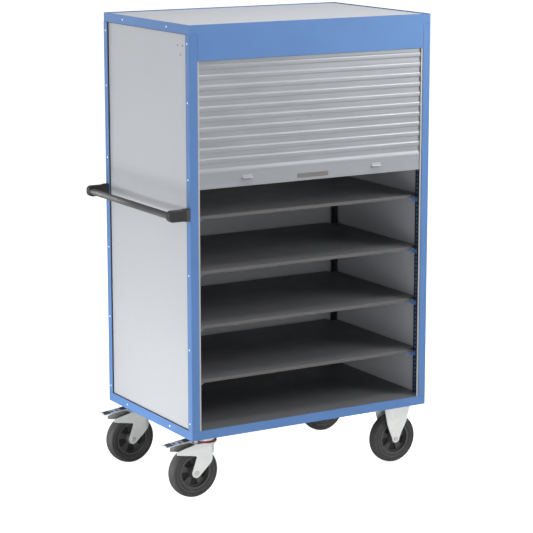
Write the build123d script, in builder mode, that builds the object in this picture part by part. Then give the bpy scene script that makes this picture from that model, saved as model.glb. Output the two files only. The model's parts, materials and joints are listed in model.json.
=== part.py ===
"""Roller shutter cupboard trolley: a folded steel cupboard on four castors.

The ground is z = 0, the open front faces -Y and the push handle is at -X.
The origin is on the ground, in the middle of the trolley's outer box.
All sizes are in millimetres.
"""

from build123d import *
from math import atan2, cos, pi, radians, sin
import os

# Driving sizes of the cupboard
cabinet_width = 1060
cabinet_depth = 700
cabinet_height = 1556
castor_height = 244

# Clearances and helpers shared by every piece
seat_gap = 0.3
running_clearance = 0.05
cut_overrun = 2

# Folded corner posts and the frames under and over them
post_front_width = 33.5
post_side_width = 31
post_sheet = 2.5
post_fold_radius = 3
panel_recess = 7
frame_sheet = 2.5
frame_corner_radius = 3
rail_height = 35
rail_flange = 36
floor_ledge_height = 26
top_rail_height = 35
top_frame_inset = 1.5
roof_ledge_width = 25
roof_recess = 4

# Sheet panels, floor board and fascia
panel_sheet = 1
floor_board_thickness = 12
floor_notch_gap = 1
fascia_sheet = 1.5
fascia_height = 132
fascia_hem = 8

# Rivets that hold the panels in the frame
rivet_head_radius = 3.2
rivet_head_height = 0.9
rivet_from_corner = 18
post_rivet_height_shares = (0.041, 0.224, 0.406, 0.636, 0.818, 0.956)
rail_rivet_depth_shares = (0.257, 0.769)

# Shutter: slats, guides, bottom bar and its fittings
slat_pitch = 38.5
slat_depth = 6.2
slat_setback = 1
slat_sheet = 1.1
slat_joint_gap = 0.4
slat_seam_share = 0.6
slat_crest_share = 0.34
slat_waist_share = 0.65
slat_waist_depth_share = 0.5
bar_crest_share = 0.467
lead_in_tilts = (26, 46)
guide_sheet = 1.5
guide_run_clearance = 0.6
guide_web_offset = 16
guide_visible_width = 7.2
guide_back_width = 14
bar_height = 76
bar_rest_height = 951
bar_depth = slat_setback + slat_depth
bar_flat_depth_share = 0.1
guide_lead_in = 22
lug_width = 42
lug_height = 12
lug_reach = 11.5
lug_sheet = 2
lug_corner_radius = 4
lug_spacing = 572
lug_height_on_bar = 30
plate_length = 138
plate_height = 17
plate_thickness = 0.8
plate_height_on_bar = 11

# Barrel that winds the curtain, its fixed shaft and its brackets
barrel_axis_depth = 83
barrel_axis_drop = 91
barrel_radius = 30
barrel_wall = 2
barrel_cap_thickness = 4
shaft_radius = 8
spring_wall = 3
spring_length = 480
bracket_radius = 33
bracket_sheet = 3
bracket_boss_radius = 13
bracket_boss_length = 12
bracket_screw_circle_radius = 22
bracket_screw_count = 3
screw_head_radius = 4.2
screw_head_height = 2
screw_shank_radius = 2.4
coil_slat_count = 22
coil_layer_pitch = 5.6

# Slotted uprights, shelves and the clips that carry them
upright_width = 25
upright_depth = 16
upright_sheet = 2
upright_from_front = 30
upright_height = 1375
slot_pitch = 52
slot_height = 26
slot_width = 6
slot_first_height = 60
shelf_thickness = 12
shelf_front_setback = 35
shelf_side_gap = 2
shelf_edge_radius = 1
shelf_notch_width = 42
shelf_notch_depth = 26
shelf_count = 4
slot_count_below_shelves = 2
slot_count_between_shelves = 4
clip_reach = 45
clip_height = 18
clip_tip_height = 4
clip_width = 14
clip_hook_depth = 3.5
clip_top_above_slot = 8

# Push handle on the left side
handle_height = 861
handle_axis_reach = 73
handle_tube_radius = 12.5
handle_tube_wall = 2
handle_arm_height = 42
handle_arm_end = 14
handle_arm_thickness = 27
handle_bracket_setback = 2
handle_arm_radius = 16
handle_base_height = 46
handle_base_length = 19
handle_edge_radius = 2
handle_socket_depth = 20
handle_screw_radius = 3
handle_screw_depth = 14
handle_screw_head_radius = 5.5
handle_screw_head_height = 3.5
handle_screw_spacing = 24

# Castors
wheel_radius = 100
wheel_width = 50
tyre_shoulder_width = 14
tyre_shoulder_middle_share = 0.293
tyre_inner_radius = 66
rim_width = 42
rim_wall = 7
web_thickness = 12
hub_window_count = 5
hub_window_inner_radius = 25
hub_window_outer_radius = 54
hub_window_half_angle = 20
hub_boss_radius = 19
hub_window_corner_radius = 3
axle_radius = 6
axle_head_radius = 9.5
axle_head_height = 6
castor_from_side = 102
castor_from_front = 85
castor_trail = 55
castor_plate_length = 135
castor_plate_width = 110
castor_plate_sheet = 4
castor_pad_sheet = 4
castor_pad_length = 172
castor_pad_width = 142
castor_bolt_spacing_x = 105
castor_bolt_spacing_y = 80
castor_bolt_radius = 4
castor_bolt_head_radius = 7
castor_bolt_head_height = 5
bolt_hole_clearance = 0.25
nut_clearance = 1.5
race_radius = 36
seal_radius = 44
seal_height = 6
crown_drop = 31
fork_sheet = 3
fork_half_width = 32
kingpin_radius = 8
kingpin_nut_radius = 11
kingpin_nut_height = 5
fork_tip_radius = 19
fork_tip_front_angle = -48
fork_tip_rear_angle = 174
fixed_tip_radius = 16
fork_tail_reach = 138
fork_tail_top = 50
fork_tail_bottom = 63
fork_tail_radius = 3
fork_arch_drop = 78
fork_arch_offset = 3
fork_throat_radius = 6
fork_tail_start = 56
crown_radius = 42
crown_skirt_drop = 46
fork_front_drop = 60
fork_shoulder_drop = 106
fork_shoulder_reach = 13
fork_shoulder_radius = 60
fork_wheel_gap = 4
fixed_leg_top_half_width = 62
fixed_leg_face_half_width = 30
fixed_leg_flange_depth = 10
fixed_leg_knee_drop = 75
fixed_leg_knee_half_width = 46

# Brake pedal of the swivel castors
pedal_length = 128
pedal_width = 44
pedal_sheet = 2.5
pedal_pivot_reach = 50
pedal_pivot_drop = 37
pedal_pivot_radius = 3
pedal_slope_drop = 15
pedal_pad_length = 30
pedal_lip_height = 8
pedal_window_length = 12
pedal_window_count = 3
pedal_window_pitch = 22
pedal_top_drop = 14
pedal_window_width = 26
pedal_eye_radius = 6

# Places that follow from the sizes above
handle_reach = handle_axis_reach + handle_arm_end
curtain_front_depth = post_sheet + guide_sheet + guide_run_clearance
lug_proud = lug_reach - curtain_front_depth
left = -(cabinet_width + rivet_head_height - handle_reach) / 2
right = left + cabinet_width
front = -(cabinet_depth - lug_proud) / 2
rear = front + cabinet_depth
middle_x = (left + right) / 2
middle_y = (front + rear) / 2
base = castor_height
top = base + cabinet_height
post_bottom = base + rail_height
post_top = top - top_rail_height
panel_in = panel_recess + panel_sheet
inner_left = left + panel_in
inner_right = right - panel_in
inner_rear = rear - panel_in
floor_bottom = base + floor_ledge_height
floor_top = floor_bottom + floor_board_thickness
roof_ledge_top = top - roof_recess - panel_sheet
upright_fronts = {"front": front + upright_from_front, "rear": rear - upright_from_front - upright_width}
fascia_bottom = top - fascia_height
curtain_front = front + curtain_front_depth
slot_back = curtain_front + bar_depth + guide_run_clearance
seam_depth = slat_depth * slat_seam_share
seam_y = curtain_front + slat_setback + seam_depth
curtain_half_width = cabinet_width / 2 - guide_web_offset - guide_sheet - guide_run_clearance
bar_bottom = base + bar_rest_height
bar_top = bar_bottom + bar_height
barrel_y = front + barrel_axis_depth
barrel_z = top - barrel_axis_drop
handle_z = base + handle_height
axle_height = wheel_radius
castor_plate_bottom = base - castor_plate_sheet
crown_top = base - crown_drop

os.makedirs("parts", exist_ok=True)


def save(builder, name):
    """Label one finished piece and write it to its own file."""
    builder.part.label = name
    export_step(builder.part, f"parts/{name}.step")


# Frame


def rectangle_ring(width, depth, wall):
    """Sketch of a rectangular ring about the middle of the cupboard."""
    with BuildSketch(mode=Mode.PRIVATE) as ring:
        with Locations((middle_x, middle_y)):
            Rectangle(width, depth)
            Rectangle(width - 2 * wall, depth - 2 * wall, mode=Mode.SUBTRACT)
    return ring.sketch


castor_centres = [
    (left + castor_from_side, front + castor_from_front, "front_left"),
    (left + castor_from_side, rear - castor_from_front, "rear_left"),
    (right - castor_from_side, front + castor_from_front, "front_right"),
    (right - castor_from_side, rear - castor_from_front, "rear_right"),
]
castor_places = [(x, y) for x, y, corner in castor_centres]

with BuildPart() as base_frame:
    with BuildSketch(Plane.XY.offset(base)):
        with Locations((middle_x, middle_y)):
            RectangleRounded(cabinet_width, cabinet_depth, frame_corner_radius)
            Rectangle(cabinet_width - 2 * rail_flange, cabinet_depth - 2 * rail_flange, mode=Mode.SUBTRACT)
    extrude(amount=frame_sheet)
    with BuildSketch(Plane.XY.offset(base)):
        with Locations((middle_x, middle_y)):
            RectangleRounded(cabinet_width, cabinet_depth, frame_corner_radius)
            Rectangle(cabinet_width - 2 * frame_sheet, cabinet_depth - 2 * frame_sheet, mode=Mode.SUBTRACT)
    extrude(amount=rail_height)
    # The inner leg of each rail is the ledge that carries the floor board
    with BuildSketch(Plane.XY.offset(base)):
        ledge_inset = 2 * (rail_flange - frame_sheet)
        add(rectangle_ring(cabinet_width - ledge_inset, cabinet_depth - ledge_inset, frame_sheet))
    extrude(amount=floor_ledge_height)
    # A welded pad in each corner takes the castor's plate
    with BuildSketch(Plane.XY.offset(base)):
        for x_side in (-1, 1):
            for y_side in (-1, 1):
                pad_x = middle_x + x_side * (cabinet_width / 2 - frame_sheet - castor_pad_length / 2)
                pad_y = middle_y + y_side * (cabinet_depth / 2 - frame_sheet - castor_pad_width / 2)
                with Locations((pad_x, pad_y)):
                    Rectangle(castor_pad_length, castor_pad_width)
    extrude(amount=castor_pad_sheet)
    with BuildSketch(Plane.XY.offset(base - cut_overrun)):
        with Locations(*castor_places):
            with GridLocations(castor_bolt_spacing_x, castor_bolt_spacing_y, 2, 2):
                Circle(castor_bolt_radius + bolt_hole_clearance)
    extrude(amount=castor_pad_sheet + 2 * cut_overrun, mode=Mode.SUBTRACT)
save(base_frame, "base_frame")


def side_rivet_places(depth_from, depth_to):
    """The (y, z) places of the rivets on one side of the cupboard."""
    places = []
    for share in post_rivet_height_shares:
        for y in (depth_from + rivet_from_corner, depth_to - rivet_from_corner):
            places.append((y, base + share * cabinet_height))
    for share in rail_rivet_depth_shares:
        for z in (base + rail_height / 2, top - top_rail_height / 2):
            places.append((depth_from + share * (depth_to - depth_from), z))
    return places


def corner_post(x_side, y_side):
    """A folded post. x_side and y_side are -1 at the left and front, 1 at the right and rear."""
    corner_x = middle_x + x_side * cabinet_width / 2
    corner_y = middle_y + y_side * cabinet_depth / 2
    front_end = (corner_x - x_side * post_front_width, corner_y)
    side_end = (corner_x, corner_y - y_side * post_side_width)
    side_lip = (corner_x - x_side * panel_recess, side_end[1])
    path = [front_end, (corner_x, corner_y), side_end, side_lip]
    if y_side > 0:
        path.insert(0, (front_end[0], corner_y - y_side * panel_recess))
    turn = Side.RIGHT if x_side * y_side > 0 else Side.LEFT
    with BuildPart() as post:
        with BuildSketch(Plane.XY.offset(post_bottom)):
            with BuildLine():
                FilletPolyline(*path, radius=post_fold_radius)
                offset(amount=post_sheet, side=turn)
            make_face()
        extrude(amount=post_top - post_bottom)
        if x_side < 0:
            screw_y = corner_y - y_side * (handle_bracket_setback + handle_arm_thickness / 2)
            with BuildSketch(Plane.YZ.offset(corner_x - x_side * post_sheet / 2)):
                for z_side in (-1, 1):
                    with Locations((screw_y, handle_z + z_side * handle_screw_spacing / 2)):
                        Circle(handle_screw_radius + running_clearance)
            extrude(amount=post_sheet / 2 + cut_overrun, both=True, mode=Mode.SUBTRACT)
    return post


for x_side, x_name in ((-1, "left"), (1, "right")):
    for y_side, y_name in ((-1, "front"), (1, "rear")):
        save(corner_post(x_side, y_side), f"post_{y_name}_{x_name}")

with BuildPart() as top_frame:
    ring_width = cabinet_width - 2 * top_frame_inset
    ring_depth = cabinet_depth - fascia_sheet - top_frame_inset
    ring_middle_y = (front + fascia_sheet + rear - top_frame_inset) / 2
    with BuildSketch(Plane.XY.offset(post_top)):
        with Locations((middle_x, ring_middle_y)):
            Rectangle(ring_width, ring_depth)
            Rectangle(ring_width - 2 * frame_sheet, ring_depth - 2 * frame_sheet, mode=Mode.SUBTRACT)
    extrude(amount=top_rail_height)
    with BuildSketch(Plane.XY.offset(roof_ledge_top - frame_sheet)):
        with Locations((middle_x, ring_middle_y)):
            Rectangle(ring_width, ring_depth)
            ledge_inset = 2 * roof_ledge_width
            Rectangle(ring_width - ledge_inset, ring_depth - ledge_inset, mode=Mode.SUBTRACT)
    extrude(amount=frame_sheet)
save(top_frame, "top_frame")

with BuildPart() as front_fascia:
    with BuildSketch(Plane.XZ.offset(-front)):
        with BuildLine():
            outer = cabinet_width / 2 - top_frame_inset
            inner = cabinet_width / 2 - post_front_width - seat_gap
            shoulder = post_top + seat_gap
            Polyline(
                (middle_x - inner, fascia_bottom),
                (middle_x + inner, fascia_bottom),
                (middle_x + inner, shoulder),
                (middle_x + outer, shoulder),
                (middle_x + outer, top),
                (middle_x - outer, top),
                (middle_x - outer, shoulder),
                (middle_x - inner, shoulder),
                close=True,
            )
        make_face()
    extrude(amount=-fascia_sheet)
    # The lower edge is hemmed back on itself
    with BuildSketch(Plane.XZ.offset(-front - fascia_sheet)):
        with Locations((middle_x, fascia_bottom + fascia_hem / 2)):
            Rectangle(2 * (inner - guide_visible_width), fascia_hem)
    extrude(amount=-fascia_sheet)
    fillet(
        front_fascia.edges().filter_by(Axis.X).group_by(Axis.Z)[0].sort_by(Axis.Y)[0],
        fascia_sheet,
    )
save(front_fascia, "front_fascia")

with BuildPart() as roof_panel:
    with BuildSketch(Plane.XY.offset(roof_ledge_top)):
        with Locations((middle_x, ring_middle_y)):
            inset = 2 * (frame_sheet + seat_gap)
            Rectangle(ring_width - inset, ring_depth - inset)
    extrude(amount=panel_sheet)
save(roof_panel, "roof_panel")

with BuildPart() as floor_board:
    with BuildSketch(Plane.XY.offset(floor_bottom)):
        with BuildLine():
            board_left = inner_left + seat_gap
            board_right = inner_right - seat_gap
            board_front = front + frame_sheet + seat_gap
            board_rear = inner_rear - seat_gap
            Polyline(
                (board_left, board_front),
                (board_right, board_front),
                (board_right, board_rear),
                (board_left, board_rear),
                close=True,
            )
        make_face()
        # The guides and the uprights run down through notches in its edges
        for x_side in (-1, 1):
            side_x = middle_x + x_side * cabinet_width / 2
            guide_notch_width = post_front_width + guide_visible_width + floor_notch_gap
            guide_notch_depth = slot_back + guide_sheet + floor_notch_gap - front
            with Locations((side_x - x_side * guide_notch_width / 2, front + guide_notch_depth / 2)):
                Rectangle(guide_notch_width, guide_notch_depth, mode=Mode.SUBTRACT)
            upright_notch_width = panel_in + upright_depth + floor_notch_gap
            notch_x = side_x - x_side * upright_notch_width / 2
            for upright_front in upright_fronts.values():
                with Locations((notch_x, upright_front + upright_width / 2)):
                    Rectangle(upright_notch_width, upright_width + 2 * floor_notch_gap, mode=Mode.SUBTRACT)
    extrude(amount=floor_board_thickness)
    fillet(floor_board.edges().group_by(Axis.Z)[-1].sort_by(Axis.Y)[0], seat_gap)
save(floor_board, "floor_board")


# Sheet panels

panel_bottom = base + max(frame_sheet, castor_pad_sheet)
panel_top = roof_ledge_top - frame_sheet - seat_gap
bracket_screw_places = [
    (
        barrel_y + bracket_screw_circle_radius * sin(2 * pi * (index + 0.5) / bracket_screw_count),
        barrel_z - bracket_screw_circle_radius * cos(2 * pi * (index + 0.5) / bracket_screw_count + pi),
    )
    for index in range(bracket_screw_count)
]


def side_panel(x_side):
    """A sheet side panel behind the lips of the posts, with its screw holes."""
    inner_face = middle_x + x_side * (cabinet_width / 2 - panel_in)
    with BuildPart() as panel:
        with BuildSketch(Plane.YZ.offset(inner_face)):
            panel_front = front + max(post_sheet, fascia_sheet + frame_sheet) + seat_gap
            panel_rear = rear - max(post_sheet, top_frame_inset + frame_sheet) - seat_gap
            with Locations(((panel_front + panel_rear) / 2, (panel_bottom + panel_top) / 2)):
                Rectangle(panel_rear - panel_front, panel_top - panel_bottom)
            with Locations(*bracket_screw_places):
                Circle(screw_shank_radius + running_clearance, mode=Mode.SUBTRACT)
        extrude(amount=x_side * panel_sheet)
    return panel


save(side_panel(-1), "side_panel_left")
save(side_panel(1), "side_panel_right")

with BuildPart() as back_panel:
    with BuildSketch(Plane.XZ.offset(-inner_rear)):
        with Locations((middle_x, (panel_bottom + panel_top) / 2)):
            Rectangle(inner_right - inner_left - 2 * seat_gap, panel_top - panel_bottom)
    extrude(amount=-panel_sheet)
save(back_panel, "back_panel")

with BuildPart() as frame_rivets:
    for x_side in (-1, 1):
        for y, z in side_rivet_places(front, rear):
            on_top_rail = z > post_top
            face = cabinet_width / 2 - (top_frame_inset if on_top_rail else 0)
            with BuildSketch(Plane.YZ.offset(middle_x + x_side * face)):
                with Locations((y, z)):
                    Circle(rivet_head_radius)
            extrude(amount=x_side * rivet_head_height)
save(frame_rivets, "frame_rivets")


# Shutter guides, curtain and bottom bar


def shutter_guide(x_side):
    """A channel beside and behind the post, open towards the curtain."""
    web_x = middle_x + x_side * (cabinet_width / 2 - guide_web_offset)
    lip_x = middle_x + x_side * (cabinet_width / 2 - post_front_width - guide_visible_width)
    back_x = web_x - x_side * guide_back_width
    guide_front = front + post_sheet
    guide_back = slot_back + guide_sheet
    with BuildPart() as guide:
        with BuildSketch(Plane.XY.offset(floor_bottom)):
            with BuildLine():
                Polyline(
                    (lip_x, guide_front),
                    (web_x, guide_front),
                    (web_x, guide_back),
                    (back_x, guide_back),
                )
                offset(amount=guide_sheet, side=Side.RIGHT if x_side < 0 else Side.LEFT)
            make_face()
        extrude(amount=fascia_bottom + guide_lead_in - floor_bottom)
    return guide


save(shutter_guide(-1), "shutter_guide_left")
save(shutter_guide(1), "shutter_guide_right")


def slat_section():
    """Cross-section of one slat, hung from its upper seam: a full upper roll and a hollow lower sweep."""
    crest = (-seam_depth, -slat_pitch * slat_crest_share)
    waist = (slat_depth * slat_waist_depth_share - seam_depth, -slat_pitch * slat_waist_share)
    foot = (0, -slat_pitch + 2 * slat_joint_gap)
    with BuildSketch(mode=Mode.PRIVATE) as section:
        with BuildLine():
            roll = ThreePointArc((0, 0), crest, waist)
            TangentArc(roll @ 1, foot, tangent=roll % 1)
            offset(amount=slat_sheet, side=Side.LEFT)
        make_face()
    return section.sketch


# The slats hang in the guides, and the last ones lean back to the barrel
hanging_slats = int((fascia_bottom + guide_lead_in - bar_top) / slat_pitch) + 1
slat_joints = [(seam_y, bar_top + slat_pitch * (index + 1), 0) for index in range(hanging_slats)]
for tilt in lead_in_tilts:
    joint_y, joint_z, last_tilt = slat_joints[-1]
    joint_y = joint_y + slat_pitch * sin(radians(tilt))
    joint_z = joint_z + slat_pitch * cos(radians(tilt))
    slat_joints.append((joint_y, joint_z, tilt))

with BuildPart() as shutter_curtain:
    with BuildSketch(Plane.YZ.offset(middle_x - curtain_half_width)):
        for joint_y, joint_z, tilt in slat_joints:
            with Locations(Location((joint_y, joint_z, 0), (0, 0, -tilt))):
                add(slat_section())
    extrude(amount=2 * curtain_half_width)
save(shutter_curtain, "shutter_curtain")

with BuildPart() as bottom_bar:
    with BuildSketch(Plane.YZ.offset(middle_x - curtain_half_width)):
        with BuildLine():
            flat_y = curtain_front + bar_depth * bar_flat_depth_share
            crest_z = bar_top - slat_pitch * bar_crest_share
            roll_end_z = bar_top - slat_pitch * slat_waist_share
            ThreePointArc((seam_y, bar_top - slat_joint_gap), (curtain_front, crest_z), (flat_y, roll_end_z))
            Polyline(
                (flat_y, roll_end_z),
                (flat_y, bar_bottom),
                (curtain_front + bar_depth, bar_bottom),
                (curtain_front + bar_depth, bar_top - slat_joint_gap),
                (seam_y, bar_top - slat_joint_gap),
            )
        make_face()
    extrude(amount=2 * curtain_half_width)
save(bottom_bar, "bottom_bar")

lug_bottom = bar_bottom + lug_height_on_bar
lug_tip = curtain_front - lug_reach
with BuildPart() as pull_lugs:
    for x_side in (-1, 1):
        lug_x = middle_x + x_side * lug_spacing / 2
        with BuildSketch(Plane.XZ.offset(-flat_y)):
            with Locations((lug_x, lug_bottom + lug_height / 2)):
                Rectangle(lug_width, lug_height)
        extrude(amount=lug_sheet)
        with BuildSketch(Plane.XY.offset(lug_bottom)):
            with Locations((lug_x, (flat_y + lug_tip) / 2)):
                tab = Rectangle(lug_width, flat_y - lug_tip)
            fillet(tab.vertices().group_by(Axis.Y)[0], lug_corner_radius)
        extrude(amount=lug_sheet)
save(pull_lugs, "pull_lugs")

with BuildPart() as bar_plate:
    with BuildSketch(Plane.XZ.offset(-flat_y)):
        with Locations((middle_x, bar_bottom + plate_height_on_bar + plate_height / 2)):
            RectangleRounded(plate_length, plate_height, plate_thickness)
    extrude(amount=plate_thickness)
save(bar_plate, "bar_plate")


# Barrel above the opening


def barrel_bracket(x_side):
    """A round flange on the side panel with a boss that holds the end of the fixed shaft."""
    panel_face = middle_x + x_side * (cabinet_width / 2 - panel_in)
    with BuildPart() as bracket:
        with BuildSketch(Plane.YZ.offset(panel_face)):
            with Locations((barrel_y, barrel_z)):
                Circle(bracket_radius)
            with Locations(*bracket_screw_places):
                Circle(screw_shank_radius + running_clearance, mode=Mode.SUBTRACT)
        extrude(amount=-x_side * bracket_sheet)
        with BuildSketch(Plane.YZ.offset(panel_face - x_side * bracket_sheet)):
            with Locations((barrel_y, barrel_z)):
                Circle(bracket_boss_radius)
        extrude(amount=-x_side * bracket_boss_length)
        with BuildSketch(Plane.YZ.offset(panel_face - x_side * bracket_sheet)):
            with Locations((barrel_y, barrel_z)):
                Circle(shaft_radius + running_clearance)
        extrude(amount=-x_side * (bracket_boss_length + cut_overrun), mode=Mode.SUBTRACT)
    return bracket


save(barrel_bracket(-1), "barrel_bracket_left")
save(barrel_bracket(1), "barrel_bracket_right")

with BuildPart() as bracket_screws:
    for x_side in (-1, 1):
        outer_face = middle_x + x_side * (cabinet_width / 2 - panel_recess)
        with BuildSketch(Plane.YZ.offset(outer_face)):
            with Locations(*bracket_screw_places):
                Circle(screw_head_radius)
        extrude(amount=x_side * screw_head_height)
        with BuildSketch(Plane.YZ.offset(outer_face)):
            with Locations(*bracket_screw_places):
                Circle(screw_shank_radius)
        extrude(amount=-x_side * (panel_sheet + bracket_sheet))
save(bracket_screws, "bracket_screws")

shaft_half_length = cabinet_width / 2 - panel_in - bracket_sheet - seat_gap
barrel_half_length = shaft_half_length - bracket_boss_length - seat_gap
with BuildPart() as barrel_shaft:
    with BuildSketch(Plane.YZ.offset(middle_x - shaft_half_length)):
        with Locations((barrel_y, barrel_z)):
            Circle(shaft_radius)
    extrude(amount=2 * shaft_half_length)
save(barrel_shaft, "barrel_shaft")

with BuildPart() as shutter_barrel:
    with BuildSketch(Plane.YZ.offset(middle_x - barrel_half_length)):
        with Locations((barrel_y, barrel_z)):
            Circle(barrel_radius)
            Circle(barrel_radius - barrel_wall, mode=Mode.SUBTRACT)
    extrude(amount=2 * barrel_half_length)
    for cap_start in (-barrel_half_length, barrel_half_length - barrel_cap_thickness):
        with BuildSketch(Plane.YZ.offset(middle_x + cap_start)):
            with Locations((barrel_y, barrel_z)):
                Circle(barrel_radius)
                Circle(shaft_radius + running_clearance, mode=Mode.SUBTRACT)
        extrude(amount=barrel_cap_thickness)
save(shutter_barrel, "shutter_barrel")

with BuildPart() as balance_spring:
    spring_inner = shaft_radius + seat_gap
    with BuildSketch(Plane.YZ.offset(middle_x - barrel_half_length + barrel_cap_thickness + seat_gap)):
        with Locations((barrel_y, barrel_z)):
            Circle(spring_inner + spring_wall)
            Circle(spring_inner, mode=Mode.SUBTRACT)
    extrude(amount=spring_length)
save(balance_spring, "balance_spring")


def coil_slat(inner_radius, start_angle, sweep_angle):
    """Cross-section of one wound slat: a slice of a ring about the barrel's axis. Angles are in radians."""
    outer_radius = inner_radius + slat_sheet
    end_angle = start_angle + sweep_angle
    middle_angle = (start_angle + end_angle) / 2

    def place(radius, angle):
        return (barrel_y + radius * cos(angle), barrel_z + radius * sin(angle))

    with BuildSketch(mode=Mode.PRIVATE) as section:
        with BuildLine():
            inner = [place(inner_radius, angle) for angle in (start_angle, middle_angle, end_angle)]
            outer = [place(outer_radius, angle) for angle in (start_angle, middle_angle, end_angle)]
            ThreePointArc(*inner)
            Line(inner[2], outer[2])
            ThreePointArc(*outer)
            Line(outer[0], inner[0])
        make_face()
    return section.sketch


# The coil grows outwards from the barrel and ends where the curtain comes in
wound_slats = []
wound_angle = 0
for index in range(coil_slat_count):
    coil_radius = barrel_radius + seat_gap + coil_layer_pitch * wound_angle / (2 * pi)
    step = slat_pitch / coil_radius
    wound_slats.append((coil_radius, wound_angle, step - slat_joint_gap / coil_radius))
    wound_angle = wound_angle + step
last_y, last_z, last_tilt = slat_joints[-1]
coil_turn = atan2(last_z - barrel_z, last_y - barrel_y) - wound_angle
with BuildPart() as shutter_coil:
    with BuildSketch(Plane.YZ.offset(middle_x - curtain_half_width)):
        for coil_radius, angle, sweep_angle in wound_slats:
            add(coil_slat(coil_radius, coil_turn + angle, sweep_angle))
    extrude(amount=2 * curtain_half_width)
save(shutter_coil, "shutter_coil")


# Slotted uprights, shelf clips and shelves

slot_count = int((upright_height - slot_first_height - slot_height) / slot_pitch) + 1
slot_heights = [floor_top + slot_first_height + slot_pitch * index for index in range(slot_count)]
clip_slots = [slot_count_below_shelves + slot_count_between_shelves * index for index in range(shelf_count)]


def slotted_upright(x_side, front_y):
    """A channel against the side panel with a row of slots in its web."""
    panel_face = middle_x + x_side * (cabinet_width / 2 - panel_in)
    web_x = panel_face - x_side * upright_depth
    rear_y = front_y + upright_width
    with BuildPart() as upright:
        with BuildSketch(Plane.XY.offset(floor_bottom)):
            with BuildLine():
                Polyline((panel_face, front_y), (web_x, front_y), (web_x, rear_y), (panel_face, rear_y))
                offset(amount=upright_sheet, side=Side.RIGHT if x_side > 0 else Side.LEFT)
            make_face()
        extrude(amount=floor_board_thickness + upright_height)
        with BuildSketch(Plane.YZ.offset(web_x)):
            with Locations(*[((front_y + rear_y) / 2, z) for z in slot_heights]):
                Rectangle(slot_width, slot_height)
        extrude(amount=upright_sheet + cut_overrun, both=True, mode=Mode.SUBTRACT)
    return upright


for x_side, x_name in ((-1, "left"), (1, "right")):
    for y_name, front_y in upright_fronts.items():
        save(slotted_upright(x_side, front_y), f"slotted_upright_{y_name}_{x_name}")

with BuildPart() as shelf_clips:
    for x_side in (-1, 1):
        web_face = middle_x + x_side * (cabinet_width / 2 - panel_in - upright_depth)
        tip_x = web_face - x_side * clip_reach
        hook_x = web_face + x_side * clip_hook_depth
        for front_y in upright_fronts.values():
            clip_y = front_y + upright_width / 2
            for slot in clip_slots:
                clip_top = slot_heights[slot] + clip_top_above_slot
                with BuildSketch(Plane.XZ.offset(-clip_y)):
                    with BuildLine():
                        Polyline(
                            (web_face, clip_top),
                            (tip_x, clip_top),
                            (tip_x, clip_top - clip_tip_height),
                            (web_face, clip_top - clip_height),
                            close=True,
                        )
                    make_face()
                extrude(amount=clip_width / 2, both=True)
                with BuildSketch(Plane.XZ.offset(-clip_y)):
                    with Locations(((web_face + hook_x) / 2, clip_top - clip_height / 2)):
                        Rectangle(clip_hook_depth, clip_height - clip_tip_height)
                extrude(amount=slot_width / 2 - seat_gap, both=True)
save(shelf_clips, "shelf_clips")


def shelf_board(bottom_z):
    """A board with its corners cut away round the uprights."""
    half_width = cabinet_width / 2 - panel_in - shelf_side_gap
    shelf_front = front + shelf_front_setback
    shelf_rear = rear - shelf_front_setback
    with BuildPart() as shelf:
        with BuildSketch(Plane.XY.offset(bottom_z)):
            with Locations((middle_x, (shelf_front + shelf_rear) / 2)):
                Rectangle(2 * half_width, shelf_rear - shelf_front)
            for x_side in (-1, 1):
                notch_x = middle_x + x_side * (half_width - (shelf_notch_width - shelf_side_gap) / 2)
                for notch_y in (shelf_front + shelf_notch_depth / 2, shelf_rear - shelf_notch_depth / 2):
                    with Locations((notch_x, notch_y)):
                        Rectangle(shelf_notch_width - shelf_side_gap, shelf_notch_depth, mode=Mode.SUBTRACT)
        extrude(amount=shelf_thickness)
        fillet(shelf.edges().filter_by(Axis.X).group_by(Axis.Y)[0], shelf_edge_radius)
    return shelf


for index, slot in enumerate(clip_slots):
    save(shelf_board(slot_heights[slot] + clip_top_above_slot), f"shelf_{index + 1}")


# Push handle

handle_x = left - handle_axis_reach
bracket_fronts = {
    "front": front + handle_bracket_setback,
    "rear": rear - handle_bracket_setback - handle_arm_thickness,
}
socket_shift = handle_arm_thickness - handle_socket_depth


def handle_bracket(front_y, inner_side):
    """A moulded arm on the post. inner_side is 1 where the tube leaves it towards the rear, else -1."""
    middle = front_y + handle_arm_thickness / 2
    socket_end = front_y + (socket_shift if inner_side > 0 else -cut_overrun)
    with BuildPart() as bracket:
        with BuildSketch(Plane.XZ.offset(-middle)):
            with Locations((left - handle_reach / 2, handle_z)):
                arm = Rectangle(handle_reach, handle_arm_height)
            fillet(arm.vertices().group_by(Axis.X)[0], handle_arm_radius)
            with Locations((left - handle_base_length / 2, handle_z)):
                Rectangle(handle_base_length, handle_base_height)
        extrude(amount=handle_arm_thickness / 2, both=True)
        fillet(bracket.edges().filter_by(Plane.XZ).group_by(Axis.X)[0], handle_edge_radius)
        with BuildSketch(Plane.XZ.offset(-socket_end)):
            with Locations((handle_x, handle_z)):
                Circle(handle_tube_radius + running_clearance)
        extrude(amount=-(handle_socket_depth + cut_overrun), mode=Mode.SUBTRACT)
        with BuildSketch(Plane.YZ.offset(left)):
            for z_side in (-1, 1):
                with Locations((middle, handle_z + z_side * handle_screw_spacing / 2)):
                    Circle(handle_screw_radius + running_clearance)
        extrude(amount=-handle_screw_depth - cut_overrun, mode=Mode.SUBTRACT)
    return bracket


save(handle_bracket(bracket_fronts["front"], 1), "handle_bracket_front")
save(handle_bracket(bracket_fronts["rear"], -1), "handle_bracket_rear")

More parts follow.
